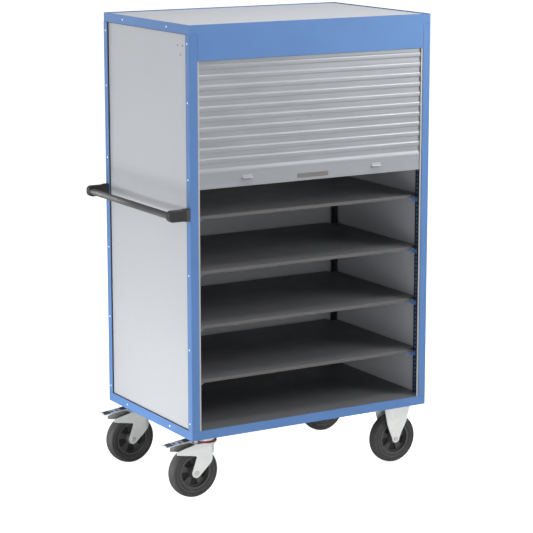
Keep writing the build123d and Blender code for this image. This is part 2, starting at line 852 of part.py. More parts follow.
tube_front = bracket_fronts["front"] + socket_shift + seat_gap
tube_rear = bracket_fronts["rear"] + handle_socket_depth - seat_gap
with BuildPart() as handle_tube:
    with BuildSketch(Plane.XZ.offset(-tube_front)):
        with Locations((handle_x, handle_z)):
            Circle(handle_tube_radius)
            Circle(handle_tube_radius - handle_tube_wall, mode=Mode.SUBTRACT)
    extrude(amount=tube_front - tube_rear)
save(handle_tube, "handle_tube")

with BuildPart() as handle_screws:
    for front_y in bracket_fronts.values():
        for z_side in (-1, 1):
            screw_place = (front_y + handle_arm_thickness / 2, handle_z + z_side * handle_screw_spacing / 2)
            with BuildSketch(Plane.YZ.offset(left + post_sheet)):
                with Locations(screw_place):
                    Circle(handle_screw_head_radius)
            extrude(amount=handle_screw_head_height)
            with BuildSketch(Plane.YZ.offset(left + post_sheet)):
                with Locations(screw_place):
                    Circle(handle_screw_radius)
            extrude(amount=-post_sheet - handle_screw_depth)
save(handle_screws, "handle_screws")


# Castors


def castor_wheel_parts(wheel_x, wheel_y, corner):
    """The tyre and the moulded rim of one wheel."""
    half_width = wheel_width / 2
    tread_top = axle_height + wheel_radius
    shoulder_middle = tyre_shoulder_width * tyre_shoulder_middle_share
    wheel_axis = Axis((wheel_x, wheel_y, axle_height), (0, 1, 0))
    with BuildPart() as tyre:
        with BuildSketch(Plane.YZ.offset(wheel_x)):
            with BuildLine():
                Polyline(
                    (wheel_y - half_width, axle_height + tyre_inner_radius),
                    (wheel_y + half_width, axle_height + tyre_inner_radius),
                    (wheel_y + half_width, tread_top - tyre_shoulder_width),
                    (wheel_y + half_width - shoulder_middle, tread_top - shoulder_middle),
                    (wheel_y + half_width - tyre_shoulder_width, tread_top),
                    (wheel_y - half_width + tyre_shoulder_width, tread_top),
                    (wheel_y - half_width + shoulder_middle, tread_top - shoulder_middle),
                    (wheel_y - half_width, tread_top - tyre_shoulder_width),
                    close=True,
                )
            make_face()
        revolve(axis=wheel_axis)
    save(tyre, f"tyre_{corner}")

    boss_half_length = fork_half_width - fork_sheet - seat_gap
    rim_radius = tyre_inner_radius - running_clearance
    with BuildPart() as rim:
        with BuildSketch(Plane.YZ.offset(wheel_x)):
            with BuildLine():
                Polyline(
                    (wheel_y - boss_half_length, axle_height + axle_radius + running_clearance),
                    (wheel_y + boss_half_length, axle_height + axle_radius + running_clearance),
                    (wheel_y + boss_half_length, axle_height + hub_boss_radius),
                    (wheel_y + web_thickness / 2, axle_height + hub_boss_radius + web_thickness / 2),
                    (wheel_y + web_thickness / 2, axle_height + rim_radius - rim_wall),
                    (wheel_y + rim_width / 2, axle_height + rim_radius - rim_wall),
                    (wheel_y + rim_width / 2, axle_height + rim_radius),
                    (wheel_y - rim_width / 2, axle_height + rim_radius),
                    (wheel_y - rim_width / 2, axle_height + rim_radius - rim_wall),
                    (wheel_y - web_thickness / 2, axle_height + rim_radius - rim_wall),
                    (wheel_y - web_thickness / 2, axle_height + hub_boss_radius + web_thickness / 2),
                    (wheel_y - boss_half_length, axle_height + hub_boss_radius),
                    close=True,
                )
            make_face()
        revolve(axis=wheel_axis)
        # Windows through the web, one of them straight down
        with BuildSketch(Plane.XZ.offset(-wheel_y)):
            with Locations((wheel_x, axle_height)):
                with PolarLocations(0, hub_window_count, start_angle=-90):
                    add(hub_window())
        extrude(amount=web_thickness, both=True, mode=Mode.SUBTRACT)
    save(rim, f"wheel_rim_{corner}")


def hub_window():
    """Outline of one window in the rim's web, pointing along local x."""
    with BuildSketch(mode=Mode.PRIVATE) as window:
        with BuildLine():
            span = 2 * hub_window_half_angle
            outer = CenterArc((0, 0), hub_window_outer_radius, -hub_window_half_angle, span)
            inner = CenterArc((0, 0), hub_window_inner_radius, -hub_window_half_angle, span)
            Line(outer @ 0, inner @ 0)
            Line(outer @ 1, inner @ 1)
        make_face()
        fillet(window.vertices(), hub_window_corner_radius)
    return window.sketch


def castor_axles(wheel_places, name):
    """The axle bolts of the named castors. Each has a head and a nut outside the fork's legs."""
    with BuildPart() as axles:
        for wheel_x, wheel_y in wheel_places:
            near_face = wheel_y - fork_half_width
            far_face = wheel_y + fork_half_width
            with BuildSketch(Plane.XZ.offset(-near_face)):
                with Locations((wheel_x, axle_height)):
                    Circle(axle_radius)
            extrude(amount=near_face - far_face)
            for face_y, outward in ((near_face, 1), (far_face, -1)):
                with BuildSketch(Plane.XZ.offset(-face_y)):
                    with Locations((wheel_x, axle_height)):
                        RegularPolygon(axle_head_radius, 6)
                extrude(amount=outward * axle_head_height)
    save(axles, name)


def fork_side_outline(axis_x, wheel_x):
    """Side view of the swivel fork: its crown, its tail over the wheel and its leg down to the axle."""
    tail_x = axis_x - fork_tail_reach
    throat_x = wheel_x + fork_arch_offset
    front_x = axis_x + fork_half_width
    shoulder_x = axis_x + fork_shoulder_reach

    def tip_point(angle):
        along = fork_tip_radius * cos(radians(angle))
        return (wheel_x + along, axle_height + fork_tip_radius * sin(radians(angle)))

    with BuildSketch(mode=Mode.PRIVATE) as outline:
        with BuildLine():
            Polyline(
                (front_x, crown_top),
                (front_x, base - fork_front_drop),
                (shoulder_x, base - fork_shoulder_drop),
                tip_point(fork_tip_front_angle),
                tip_point(fork_tip_rear_angle),
                (throat_x, base - fork_arch_drop),
                (tail_x, base - fork_tail_bottom),
                (tail_x, base - fork_tail_top),
                (axis_x - fork_tail_start, crown_top),
                close=True,
            )
        make_face()
        for corner_x, drop, radius in (
            (front_x, fork_front_drop, fork_shoulder_radius),
            (shoulder_x, fork_shoulder_drop, fork_shoulder_radius),
            (throat_x, fork_arch_drop, fork_throat_radius),
            (tail_x, fork_tail_bottom, fork_tail_radius),
            (tail_x, fork_tail_top, fork_tail_radius),
        ):
            fillet(outline.vertices().sort_by_distance((corner_x, base - drop))[0], radius)
        with Locations((wheel_x, axle_height)):
            Circle(fork_tip_radius)
    return outline.sketch


def swivel_castor(axis_x, axis_y, corner):
    """The parts of one braked swivel castor, its wheel trailing to the left."""
    wheel_x = axis_x - castor_trail
    race_bottom = crown_top + seat_gap
    with BuildPart() as top_plate:
        with BuildSketch(Plane.XY.offset(castor_plate_bottom)):
            with Locations((axis_x, axis_y)):
                RectangleRounded(castor_plate_length, castor_plate_width, castor_bolt_head_radius)
                with GridLocations(castor_bolt_spacing_x, castor_bolt_spacing_y, 2, 2):
                    Circle(castor_bolt_radius + bolt_hole_clearance, mode=Mode.SUBTRACT)
        extrude(amount=castor_plate_sheet)
        with BuildSketch(Plane.XY.offset(race_bottom)):
            with Locations((axis_x, axis_y)):
                Circle(race_radius)
        extrude(amount=castor_plate_bottom - race_bottom)
        with BuildSketch(Plane.XY.offset(crown_top - fork_sheet - seat_gap - kingpin_nut_height)):
            with Locations((axis_x, axis_y)):
                Circle(kingpin_radius)
        extrude(amount=race_bottom - crown_top + fork_sheet + seat_gap + kingpin_nut_height)
        with BuildSketch(Plane.XY.offset(crown_top - fork_sheet - seat_gap - kingpin_nut_height)):
            with Locations((axis_x, axis_y)):
                RegularPolygon(kingpin_nut_radius, 6)
        extrude(amount=kingpin_nut_height)
    save(top_plate, f"castor_plate_{corner}")

    with BuildPart() as fork:
        # Legs bent in one piece round the front of the crown
        with BuildSketch(Plane.XY.offset(axle_height - fork_tip_radius)):
            with Locations((axis_x, axis_y)):
                Circle(fork_half_width)
            with Locations((axis_x - fork_tail_reach / 2, axis_y)):
                Rectangle(fork_tail_reach, 2 * fork_half_width)
            with Locations((axis_x, axis_y)):
                Circle(fork_half_width - fork_sheet, mode=Mode.SUBTRACT)
            with Locations((axis_x - fork_tail_reach / 2 - cut_overrun, axis_y)):
                Rectangle(
                    fork_tail_reach + 2 * cut_overrun, 2 * (fork_half_width - fork_sheet), mode=Mode.SUBTRACT
                )
        extrude(amount=crown_top - axle_height + fork_tip_radius)
        with BuildSketch(Plane.XZ.offset(-axis_y)):
            add(fork_side_outline(axis_x, wheel_x))
        extrude(amount=2 * fork_half_width, both=True, mode=Mode.INTERSECT)
        # The front of the bend is cut out round the wheel
        with BuildSketch(Plane.XZ.offset(-axis_y)):
            with Locations((wheel_x, axle_height)):
                Circle(wheel_radius + fork_wheel_gap)
        extrude(amount=wheel_width / 2 + cut_overrun, both=True, mode=Mode.SUBTRACT)
        # Dished crown under the race
        with BuildSketch(Plane.XZ.offset(-axis_y)):
            with BuildLine():
                Polyline(
                    (axis_x, crown_top),
                    (axis_x + crown_radius, crown_top),
                    (axis_x + fork_half_width, base - crown_skirt_drop),
                    (axis_x + fork_half_width - fork_sheet, base - crown_skirt_drop),
                    (axis_x + fork_half_width - fork_sheet, crown_top - fork_sheet),
                    (axis_x, crown_top - fork_sheet),
                    close=True,
                )
            make_face()
        revolve(axis=Axis((axis_x, axis_y, 0), (0, 0, 1)))
        with BuildSketch(Plane.XY.offset(crown_top - fork_sheet - cut_overrun)):
            with Locations((axis_x, axis_y)):
                Circle(kingpin_radius + running_clearance)
        extrude(amount=fork_sheet + 2 * cut_overrun, mode=Mode.SUBTRACT)
        with BuildSketch(Plane.XZ.offset(-axis_y)):
            with Locations((wheel_x, axle_height)):
                Circle(axle_radius + running_clearance)
            with Locations((axis_x - pedal_pivot_reach, base - pedal_pivot_drop)):
                Circle(pedal_pivot_radius + running_clearance)
        extrude(amount=2 * fork_half_width, both=True, mode=Mode.SUBTRACT)
    save(fork, f"castor_fork_{corner}")

    castor_axles([(wheel_x, axis_y)], f"castor_axle_{corner}")

    with BuildPart() as pedal:
        pivot_x = axis_x - pedal_pivot_reach
        pivot_z = base - pedal_pivot_drop
        plate_start = (axis_x - seal_radius - pedal_sheet, base - pedal_top_drop)
        plate_end = (plate_start[0] - pedal_length, base - pedal_top_drop - pedal_slope_drop)
        lip_end = (plate_end[0] - pedal_lip_height, plate_end[1] + pedal_lip_height)
        with BuildSketch(Plane.XZ.offset(-axis_y)):
            with BuildLine():
                Polyline(plate_start, plate_end, lip_end)
                offset(amount=pedal_sheet, side=Side.LEFT)
            make_face()
        extrude(amount=pedal_width / 2, both=True)
        # Windows pressed through the tread
        with BuildSketch(Plane.XY.offset(base - pedal_top_drop)):
            for index in range(pedal_window_count):
                window_x = plate_end[0] + pedal_pad_length + (index + 0.5) * pedal_window_pitch
                with Locations((window_x, axis_y)):
                    Rectangle(pedal_window_length, pedal_window_width)
        extrude(amount=-pedal_slope_drop - 2 * pedal_sheet, mode=Mode.SUBTRACT)
        # Cheeks down to the pivot pin
        for side in (-1, 1):
            cheek_outer = axis_y + side * pedal_width / 2
            with BuildSketch(Plane.XZ.offset(-cheek_outer)):
                with BuildLine():
                    Polyline(
                        plate_start,
                        (pivot_x + pedal_eye_radius, pivot_z),
                        (pivot_x - pedal_eye_radius, pivot_z),
                        (pivot_x - 2 * pedal_eye_radius, plate_start[1] - pedal_sheet),
                        close=True,
                    )
                make_face()
                with Locations((pivot_x, pivot_z)):
                    Circle(pedal_eye_radius)
            extrude(amount=side * pedal_sheet)
        with BuildSketch(Plane.XZ.offset(-axis_y)):
            with Locations((pivot_x, pivot_z)):
                Circle(pedal_pivot_radius)
        extrude(amount=fork_half_width, both=True)
    save(pedal, f"brake_pedal_{corner}")
    castor_wheel_parts(wheel_x, axis_y, corner)


def fixed_castor(wheel_x, wheel_y, corner):
    """The bracket and wheel of one fixed castor. The edges of its legs are flared outwards."""
    with BuildPart() as bracket:
        for side in (-1, 1):
            face_y = wheel_y + side * fork_half_width
            flare_y = face_y + side * fixed_leg_flange_depth
            with BuildSketch(Plane.XY.offset(axle_height - fixed_tip_radius)):
                with BuildLine():
                    Polyline(
                        (wheel_x - fixed_leg_top_half_width, flare_y),
                        (wheel_x - fixed_leg_face_half_width, face_y),
                        (wheel_x + fixed_leg_face_half_width, face_y),
                        (wheel_x + fixed_leg_top_half_width, flare_y),
                    )
                    offset(amount=fork_sheet, side=Side.LEFT if side < 0 else Side.RIGHT)
                make_face()
            extrude(amount=castor_plate_bottom - axle_height + fixed_tip_radius)
        with BuildSketch(Plane.XZ.offset(-wheel_y)):
            with BuildLine():
                knee_z = base - fixed_leg_knee_drop
                Polyline(
                    (wheel_x - fixed_leg_top_half_width, castor_plate_bottom),
                    (wheel_x - fixed_leg_knee_half_width, knee_z),
                    (wheel_x - fixed_tip_radius, axle_height),
                    (wheel_x + fixed_tip_radius, axle_height),
                    (wheel_x + fixed_leg_knee_half_width, knee_z),
                    (wheel_x + fixed_leg_top_half_width, castor_plate_bottom),
                    close=True,
                )
            make_face()
            with Locations((wheel_x, axle_height)):
                Circle(fixed_tip_radius)
        extrude(amount=fork_half_width + 2 * fixed_leg_flange_depth, both=True, mode=Mode.INTERSECT)
        # The flares are notched round the nuts of the plate's bolts
        with BuildSketch(Plane.XY.offset(castor_plate_bottom - castor_bolt_head_height - nut_clearance)):
            with Locations((wheel_x, wheel_y)):
                with GridLocations(castor_bolt_spacing_x, castor_bolt_spacing_y, 2, 2):
                    Circle(castor_bolt_head_radius + nut_clearance)
        extrude(amount=castor_bolt_head_height + nut_clearance, mode=Mode.SUBTRACT)
        with BuildSketch(Plane.XY.offset(castor_plate_bottom)):
            with Locations((wheel_x, wheel_y)):
                RectangleRounded(castor_plate_length, castor_plate_width, castor_bolt_head_radius)
        extrude(amount=castor_plate_sheet)
        with BuildSketch(Plane.XY.offset(castor_plate_bottom - cut_overrun)):
            with Locations((wheel_x, wheel_y)):
                with GridLocations(castor_bolt_spacing_x, castor_bolt_spacing_y, 2, 2):
                    Circle(castor_bolt_radius + bolt_hole_clearance)
        extrude(amount=castor_plate_sheet + 2 * cut_overrun, mode=Mode.SUBTRACT)
        with BuildSketch(Plane.XZ.offset(-wheel_y)):
            with Locations((wheel_x, axle_height)):
                Circle(axle_radius + running_clearance)
        extrude(amount=2 * fork_half_width, both=True, mode=Mode.SUBTRACT)
    save(bracket, f"castor_fork_{corner}")
    castor_wheel_parts(wheel_x, wheel_y, corner)


fixed_wheel_places = []
with BuildPart() as castor_seals:
    with BuildSketch(Plane.XY.offset(crown_top + seat_gap)):
        for centre_x, centre_y, corner in castor_centres:
            if centre_x < middle_x:
                with Locations((centre_x, centre_y)):
                    Circle(seal_radius)
                    Circle(race_radius + seat_gap, mode=Mode.SUBTRACT)
    extrude(amount=seal_height)
save(castor_seals, "castor_seals")

for centre_x, centre_y, corner in castor_centres:
    if centre_x < middle_x:
        swivel_castor(centre_x, centre_y, corner)
    else:
        fixed_castor(centre_x, centre_y, corner)
        fixed_wheel_places.append((centre_x, centre_y))
castor_axles(fixed_wheel_places, "fixed_castor_axles")

with BuildPart() as castor_bolts:
    nut_bottom = castor_plate_bottom - castor_bolt_head_height
    for plane_z, radius, height in (
        (nut_bottom, castor_bolt_head_radius, castor_bolt_head_height),
        (base + castor_pad_sheet, castor_bolt_head_radius, castor_bolt_head_height),
    ):
        with BuildSketch(Plane.XY.offset(plane_z)):
            with Locations(*castor_places):
                with GridLocations(castor_bolt_spacing_x, castor_bolt_spacing_y, 2, 2):
                    RegularPolygon(radius, 6)
        extrude(amount=height)
    with BuildSketch(Plane.XY.offset(nut_bottom)):
        with Locations(*castor_places):
            with GridLocations(castor_bolt_spacing_x, castor_bolt_spacing_y, 2, 2):
                Circle(castor_bolt_radius)
    extrude(amount=base + castor_pad_sheet - nut_bottom)
save(castor_bolts, "castor_bolts")
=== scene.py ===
"""Visible pieces, finishes, floor, lights and camera of a roller shutter cupboard trolley."""

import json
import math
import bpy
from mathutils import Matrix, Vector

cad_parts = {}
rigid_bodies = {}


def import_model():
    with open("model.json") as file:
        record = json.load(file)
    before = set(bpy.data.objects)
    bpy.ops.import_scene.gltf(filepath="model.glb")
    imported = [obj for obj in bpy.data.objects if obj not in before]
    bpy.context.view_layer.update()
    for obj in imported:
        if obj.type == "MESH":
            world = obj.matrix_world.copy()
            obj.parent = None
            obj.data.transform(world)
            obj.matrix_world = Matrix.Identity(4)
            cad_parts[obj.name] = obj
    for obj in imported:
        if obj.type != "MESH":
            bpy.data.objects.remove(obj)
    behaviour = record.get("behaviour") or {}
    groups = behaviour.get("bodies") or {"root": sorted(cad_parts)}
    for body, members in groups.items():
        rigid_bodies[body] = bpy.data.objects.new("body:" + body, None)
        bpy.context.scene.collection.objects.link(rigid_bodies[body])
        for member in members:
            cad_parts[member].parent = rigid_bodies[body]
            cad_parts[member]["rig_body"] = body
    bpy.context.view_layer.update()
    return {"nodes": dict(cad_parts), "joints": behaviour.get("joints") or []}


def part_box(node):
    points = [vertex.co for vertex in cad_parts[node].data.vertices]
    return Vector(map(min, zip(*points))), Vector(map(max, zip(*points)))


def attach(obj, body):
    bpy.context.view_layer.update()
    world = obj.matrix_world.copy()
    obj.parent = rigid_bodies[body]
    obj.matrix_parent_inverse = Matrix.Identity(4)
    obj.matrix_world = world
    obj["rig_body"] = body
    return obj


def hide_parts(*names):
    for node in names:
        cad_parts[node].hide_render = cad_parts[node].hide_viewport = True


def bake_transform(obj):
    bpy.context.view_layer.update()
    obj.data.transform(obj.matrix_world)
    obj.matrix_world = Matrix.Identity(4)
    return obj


bl_info = {
    "name": "Roller shutter cupboard trolley",
    "version": (1, 0, 0),
    "blender": (4, 5, 0),
    "location": "3D View > Sidebar > Cupboard",
    "description": "Dresses the packed cupboard trolley with its visible pieces and finishes",
    "category": "Object",
}

import bmesh
import bpy
from bpy.props import FloatProperty, FloatVectorProperty, IntProperty, PointerProperty
from mathutils import Matrix, Vector

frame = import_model()
MM = 0.001

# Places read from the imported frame
BASE_LOW, BASE_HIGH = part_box("base_frame")
BAR_LOW, BAR_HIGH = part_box("bottom_bar")
MIDDLE_X = (BASE_LOW[0] + BASE_HIGH[0]) / 2
MIDDLE_Y = (BASE_LOW[1] + BASE_HIGH[1]) / 2
SHUTTER_RANGE = next(j["range_m"] for j in frame["joints"] if j["name"] == "shutter_slide")

SWIVEL_CORNERS = ("front_left", "rear_left")
FIXED_CORNERS = ("front_right", "rear_right")
WHEEL_CORNERS = SWIVEL_CORNERS + FIXED_CORNERS


def linear(red, green, blue):
    """Linear colour of an 8-bit screen colour, by the sRGB curve."""
    out = []
    for value in (red, green, blue):
        value = value / 255
        out.append(value / 12.92 if value <= 0.04045 else ((value + 0.055) / 1.055) ** 2.4)
    return tuple(out)


def shaded(colour, factor):
    """The colour made darker or lighter."""
    return tuple(channel * factor for channel in colour)


# Finishes


class Finish:
    """A material under construction: a small wrapper round its nodes."""

    def __init__(self, name, tint, roughness, metallic=0.0):
        self.material = bpy.data.materials.new(name)
        self.material.use_nodes = True
        self.tree = self.material.node_tree
        self.shader = self.tree.nodes["Principled BSDF"]
        self.tint = tint
        self.set("Base Color", (*tint, 1))
        self.set("Roughness", roughness)
        self.set("Metallic", metallic)
        self.place = self.node("ShaderNodeTexCoord").outputs["Object"]

    def set(self, entry, value):
        self.shader.inputs[entry].default_value = value

    def node(self, kind, **settings):
        node = self.tree.nodes.new(kind)
        for key, value in settings.items():
            setattr(node, key, value)
        return node

    def link(self, source, target):
        self.tree.links.new(source, target)

    def stretched(self, stretch):
        mapping = self.node("ShaderNodeMapping")
        mapping.inputs["Scale"].default_value = stretch
        self.link(self.place, mapping.inputs["Vector"])
        return mapping.outputs["Vector"]

    def noise(self, scale, detail, stretch=(1, 1, 1), roughness=0.5):
        noise = self.node("ShaderNodeTexNoise")
        noise.inputs["Scale"].default_value = scale
        noise.inputs["Detail"].default_value = detail
        noise.inputs["Roughness"].default_value = roughness
        self.link(self.stretched(stretch), noise.inputs["Vector"])
        return noise.outputs["Fac"]

    def cells(self, scale, stretch):
        cells = self.node("ShaderNodeTexVoronoi")
        cells.inputs["Scale"].default_value = scale
        self.link(self.stretched(stretch), cells.inputs["Vector"])
        grey = self.node("ShaderNodeRGBToBW")
        self.link(cells.outputs["Color"], grey.inputs["Color"])
        return grey.outputs["Val"]

    def ranged(self, factor, low, high, source=(0.3, 0.7)):
        """The source range of a pattern stretched to low and high."""
        remap = self.node("ShaderNodeMapRange")
        remap.inputs["From Min"].default_value = source[0]
        remap.inputs["From Max"].default_value = source[1]
        remap.inputs["To Min"].default_value = low
        remap.inputs["To Max"].default_value = high
        self.link(factor, remap.inputs["Value"])
        return remap.outputs["Result"]

    def mixed(self, factor, first, second, blend="MIX"):
        """Two colours mixed. Each value is a number, a colour or another node's socket."""
        mix = self.node("ShaderNodeMix", data_type="RGBA", blend_type=blend)
        sockets = [mix.inputs[0]] + [entry for entry in mix.inputs if entry.type == "RGBA"]
        for socket, value in zip(sockets, (factor, first, second)):
            if isinstance(value, bpy.types.NodeSocket):
                self.link(value, socket)
            elif isinstance(value, tuple):
                socket.default_value = (*value, 1)
            else:
                socket.default_value = value
        return next(entry for entry in mix.outputs if entry.type == "RGBA")

    def mottled(self, pattern, darkest, lightest, source=(0.3, 0.7)):
        """The finish's tint between two shades of itself."""
        spread = self.ranged(pattern, 0, 1, source)
        return self.mixed(spread, shaded(self.tint, darkest), shaded(self.tint, lightest))

    def colour(self, socket):
        self.link(socket, self.shader.inputs["Base Color"])

    def rough(self, socket):
        self.link(socket, self.shader.inputs["Roughness"])

    def bump(self, socket, strength, distance):
        bump = self.node("ShaderNodeBump")
        bump.inputs["Strength"].default_value = strength
        bump.inputs["Distance"].default_value = distance
        self.link(socket, bump.inputs["Height"])
        self.link(bump.outputs["Normal"], self.shader.inputs["Normal"])

    def surface(self, mottle, sheen, skin):
        """Uneven colour, uneven gloss and a fine relief, each from its own noise.

        mottle: scale, detail, darkest and lightest share of the tint
        sheen: scale, detail, lowest and highest roughness
        skin: scale, detail, strength, height
        """
        self.colour(self.mottled(self.noise(*mottle[:2]), *mottle[2:]))
        self.rough(self.ranged(self.noise(*sheen[:2]), *sheen[2:]))
        self.bump(self.noise(*skin[:2]), *skin[2:])
        return self.material


def powder_coat(name, tint):
    """Satin powder coat with a fine orange-peel skin."""
    finish = Finish(name, tint, 0.46)
    finish.set("Specular IOR Level", 0.22)
    return finish.surface((5, 3, 0.96, 1.04), (60, 2, 0.42, 0.5), (900, 2, 0.12, 0.1 * MM))


def galvanised_sheet(name, tint, roughness=0.52, metallic=0.1, shine=0.35):
    """Galvanised sheet: cloudy zinc crystals with a soft vertical rolling grain."""
    finish = Finish(name, tint, roughness, metallic)
    finish.set("Specular IOR Level", shine)
    crystals, source = finish.cells(55, (1, 1, 0.6)), (0.2, 0.8)
    clouds = finish.mottled(finish.noise(7, 4, (1, 1, 0.35)), 0.987, 1.013)
    spangle = finish.mottled(crystals, 0.985, 1.012, source)
    finish.colour(finish.mixed(0.5, clouds, spangle))
    finish.rough(finish.ranged(crystals, roughness - 0.04, roughness + 0.04, source))
    finish.bump(finish.noise(250, 2, (1, 1, 0.05)), 0.05, 0.1 * MM)
    return finish.material


def rolled_aluminium(name, tint, roughness, metallic):
    """Mill-finish aluminium with fine lines along the slats."""
    finish = Finish(name, tint, roughness, metallic)
    lines = finish.noise(90, 4, (0.01, 1, 8), 0.7)
    smears = finish.noise(9, 3, (0.6, 1, 2))
    handled = finish.mixed(finish.ranged(smears, 0, 1), (0.95, 0.95, 0.95), (1, 1, 1))
    finish.colour(finish.mixed(1, finish.mottled(lines, 0.93, 1.05), handled, "MULTIPLY"))
    finish.rough(finish.ranged(smears, roughness - 0.05, roughness + 0.07))
    finish.bump(lines, 0.06, 0.1 * MM)
    return finish.material


def bright_zinc(name, tint, roughness=0.36, metallic=0.75):
    """Pressed steel with bright zinc plating, slightly cloudy."""
    sheen = (80, 3, roughness - 0.06, roughness + 0.08)
    finish = Finish(name, tint, roughness, metallic)
    return finish.surface((30, 4, 0.94, 1.03), sheen, (500, 2, 0.06, 0.1 * MM))


def coated_board(name, tint, pores=450):
    """Dark coated board with a fine pearl texture."""
    finish = Finish(name, tint, 0.5)
    return finish.surface((pores, 3, 0.85, 1.15), (12, 3, 0.46, 0.58), (pores, 3, 0.15, 0.2 * MM))


def moulded_plastic(name, tint, roughness=0.5, grain=1100, depth=0.15):
    """Injection-moulded plastic with a fine spark-eroded grain."""
    sheen = (70, 2, roughness - 0.05, roughness + 0.07)
    finish = Finish(name, tint, roughness)
    return finish.surface((25, 3, 0.92, 1.08), sheen, (grain, 2, depth, 0.1 * MM))


def tyre_rubber(name, tint):
    """Solid rubber, dusty on the tread and softly scuffed."""
    finish = Finish(name, tint, 0.62)
    return finish.surface((18, 4, 0.85, 1.2), (40, 3, 0.55, 0.72), (600, 3, 0.2, 0.2 * MM))


FINISHES = {}


def make_finishes(settings):
    """Makes every finish once and keeps it by name."""
    blue = tuple(settings.frame_blue)
    zinc = tuple(settings.panel_zinc)
    slat = tuple(settings.slat_aluminium)
    board = tuple(settings.board_grey)
    black = tuple(settings.handle_black)
    FINISHES.update(
        blue=powder_coat("blue_powder_coat", blue),
        # dark coat on the slotted uprights: painted shade
        upright=powder_coat("upright_painted_shade_coat", linear(42, 44, 47)),
        panel=galvanised_sheet("galvanised_panel", zinc),
        # roof: the panel zinc painted lighter, painted light on its top
        roof=galvanised_sheet("galvanised_roof_painted_lighter", shaded(zinc, 1.31), 0.8, 0.0, 0.1),
        # inner faces: the panel zinc painted lighter, painted light in the bays
        inside=galvanised_sheet("galvanised_inside", shaded(zinc, 1.5)),
        slat=rolled_aluminium("mill_aluminium", slat, 0.4, 0.32),
        bar=rolled_aluminium("bar_aluminium", shaded(slat, 0.92), 0.48, 0.25),
        guide=rolled_aluminium("guide_aluminium", linear(178, 175, 170), 0.5, 0.3),
        strip=moulded_plastic("dull_strip", linear(104, 103, 99), 0.6, 400, 0.4),
        board=coated_board("anthracite_board", board),
        edge=coated_board("board_edge_band", linear(84, 83, 82), 250),
        zinc=bright_zinc("bright_zinc", linear(232, 235, 232)),
        pedal=bright_zinc("pedal_zinc", linear(222, 225, 226), 0.34, 0.6),
        # dark grip pads on the pedals, and the dark strip under the pedal windows as painted shade
        tread=moulded_plastic("pedal_pads_and_slot_shade", linear(58, 59, 64), 0.4),
        # dark strips in the gap round the side panels: painted shade
        gasket=moulded_plastic("panel_painted_gap_shade", linear(36, 40, 50), 0.7),
        # dark blue on the post ends' chamfers: painted shade in the seams
        seam=moulded_plastic("post_seam_painted_shade", linear(44, 62, 96), 0.7),
        tab=bright_zinc("tab_zinc", linear(176, 178, 180), 0.4, 0.3),
        bolt=bright_zinc("bolt_zinc", linear(205, 207, 203), 0.32, 0.9),
        rivet=bright_zinc("rivet_head", linear(250, 248, 236), 0.4, 0.1),
        tyre=tyre_rubber("grey_tyre_rubber", linear(55, 55, 55)),
        rim=moulded_plastic("rim_plastic", linear(68, 68, 69), 0.48),
        # near-black disc behind the rim windows: painted shade
        hollow=moulded_plastic("rim_window_painted_shade_plastic", linear(26, 26, 27), 0.7),
        seal=moulded_plastic("red_seal", linear(118, 32, 29), 0.45),
        handle=moulded_plastic("handle_plastic", black, 0.5, 900, 0.2),
        base=moulded_plastic("handle_base_plastic", shaded(black, 3.2), 0.5, 900, 0.2),
        tube=moulded_plastic("tube_coating", shaded(black, 4.2), 0.42, 700, 0.12),
        steel=bright_zinc("barrel_steel", linear(150, 152, 154), 0.45, 0.85),
    )


# Mesh helpers

WELD_DISTANCE = 0.001 * MM
FLAT_ANGLE = 0.5
SHARP_ANGLE = 30


def finished(mesh_builder, name, finish, body, smooth=True):
    """Turns a bmesh into a piece, with its normals facing out."""
    bmesh.ops.recalc_face_normals(mesh_builder, faces=mesh_builder.faces)
    return placed(mesh_builder, name, finish, body, smooth)


def in_order(entries, place_of):
    """Sorts vertices or faces by their place, so that each run writes them alike."""
    entries.index_update()
    places = [tuple(round(value, 6) for value in place_of(entry)) for entry in entries]
    order = sorted(range(len(places)), key=places.__getitem__)
    ranks = {index: rank for rank, index in enumerate(order)}
    entries.sort(key=lambda entry: ranks[entry.index])


def placed(mesh_builder, name, finish, body, smooth=True, ride=True):
    """Turns a bmesh into a piece with its finishes, on its body."""
    in_order(mesh_builder.verts, lambda vert: vert.co)
    in_order(mesh_builder.faces, lambda face: face.calc_center_median())
    mesh = bpy.data.meshes.new(name)
    mesh_builder.to_mesh(mesh)
    mesh_builder.free()
    for polygon in mesh.polygons:
        polygon.use_smooth = smooth
    piece = bpy.data.objects.new(name, mesh)
    bpy.context.scene.collection.objects.link(piece)
    for entry in finish if isinstance(finish, tuple) else (finish,):
        mesh.materials.append(FINISHES[entry])
    if smooth:
        weights = piece.modifiers.new("even_normals", "WEIGHTED_NORMAL")
        weights.keep_sharp = True
        weights.weight = 100
    if ride:
        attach(piece, body)
    return piece


def sharp_edges(mesh_builder, degrees=SHARP_ANGLE):
    """The edges between two faces that turn by more than the angle."""
    limit = math.radians(degrees)
    return [
        edge
        for edge in mesh_builder.edges
        if len(edge.link_faces) == 2 and edge.calc_face_angle(0) > limit
    ]


def round_edges(mesh_builder, edges, width, segments=2):
    """Rounds the edges and gives back the new faces."""
    if not edges:
        return []
    return bmesh.ops.bevel(
        mesh_builder,
        geom=edges,
        offset=width,
        offset_type="OFFSET",
        segments=segments,
        profile=0.5,
        affect="EDGES",
        clamp_overlap=True,
        material=-1,
    )["faces"]


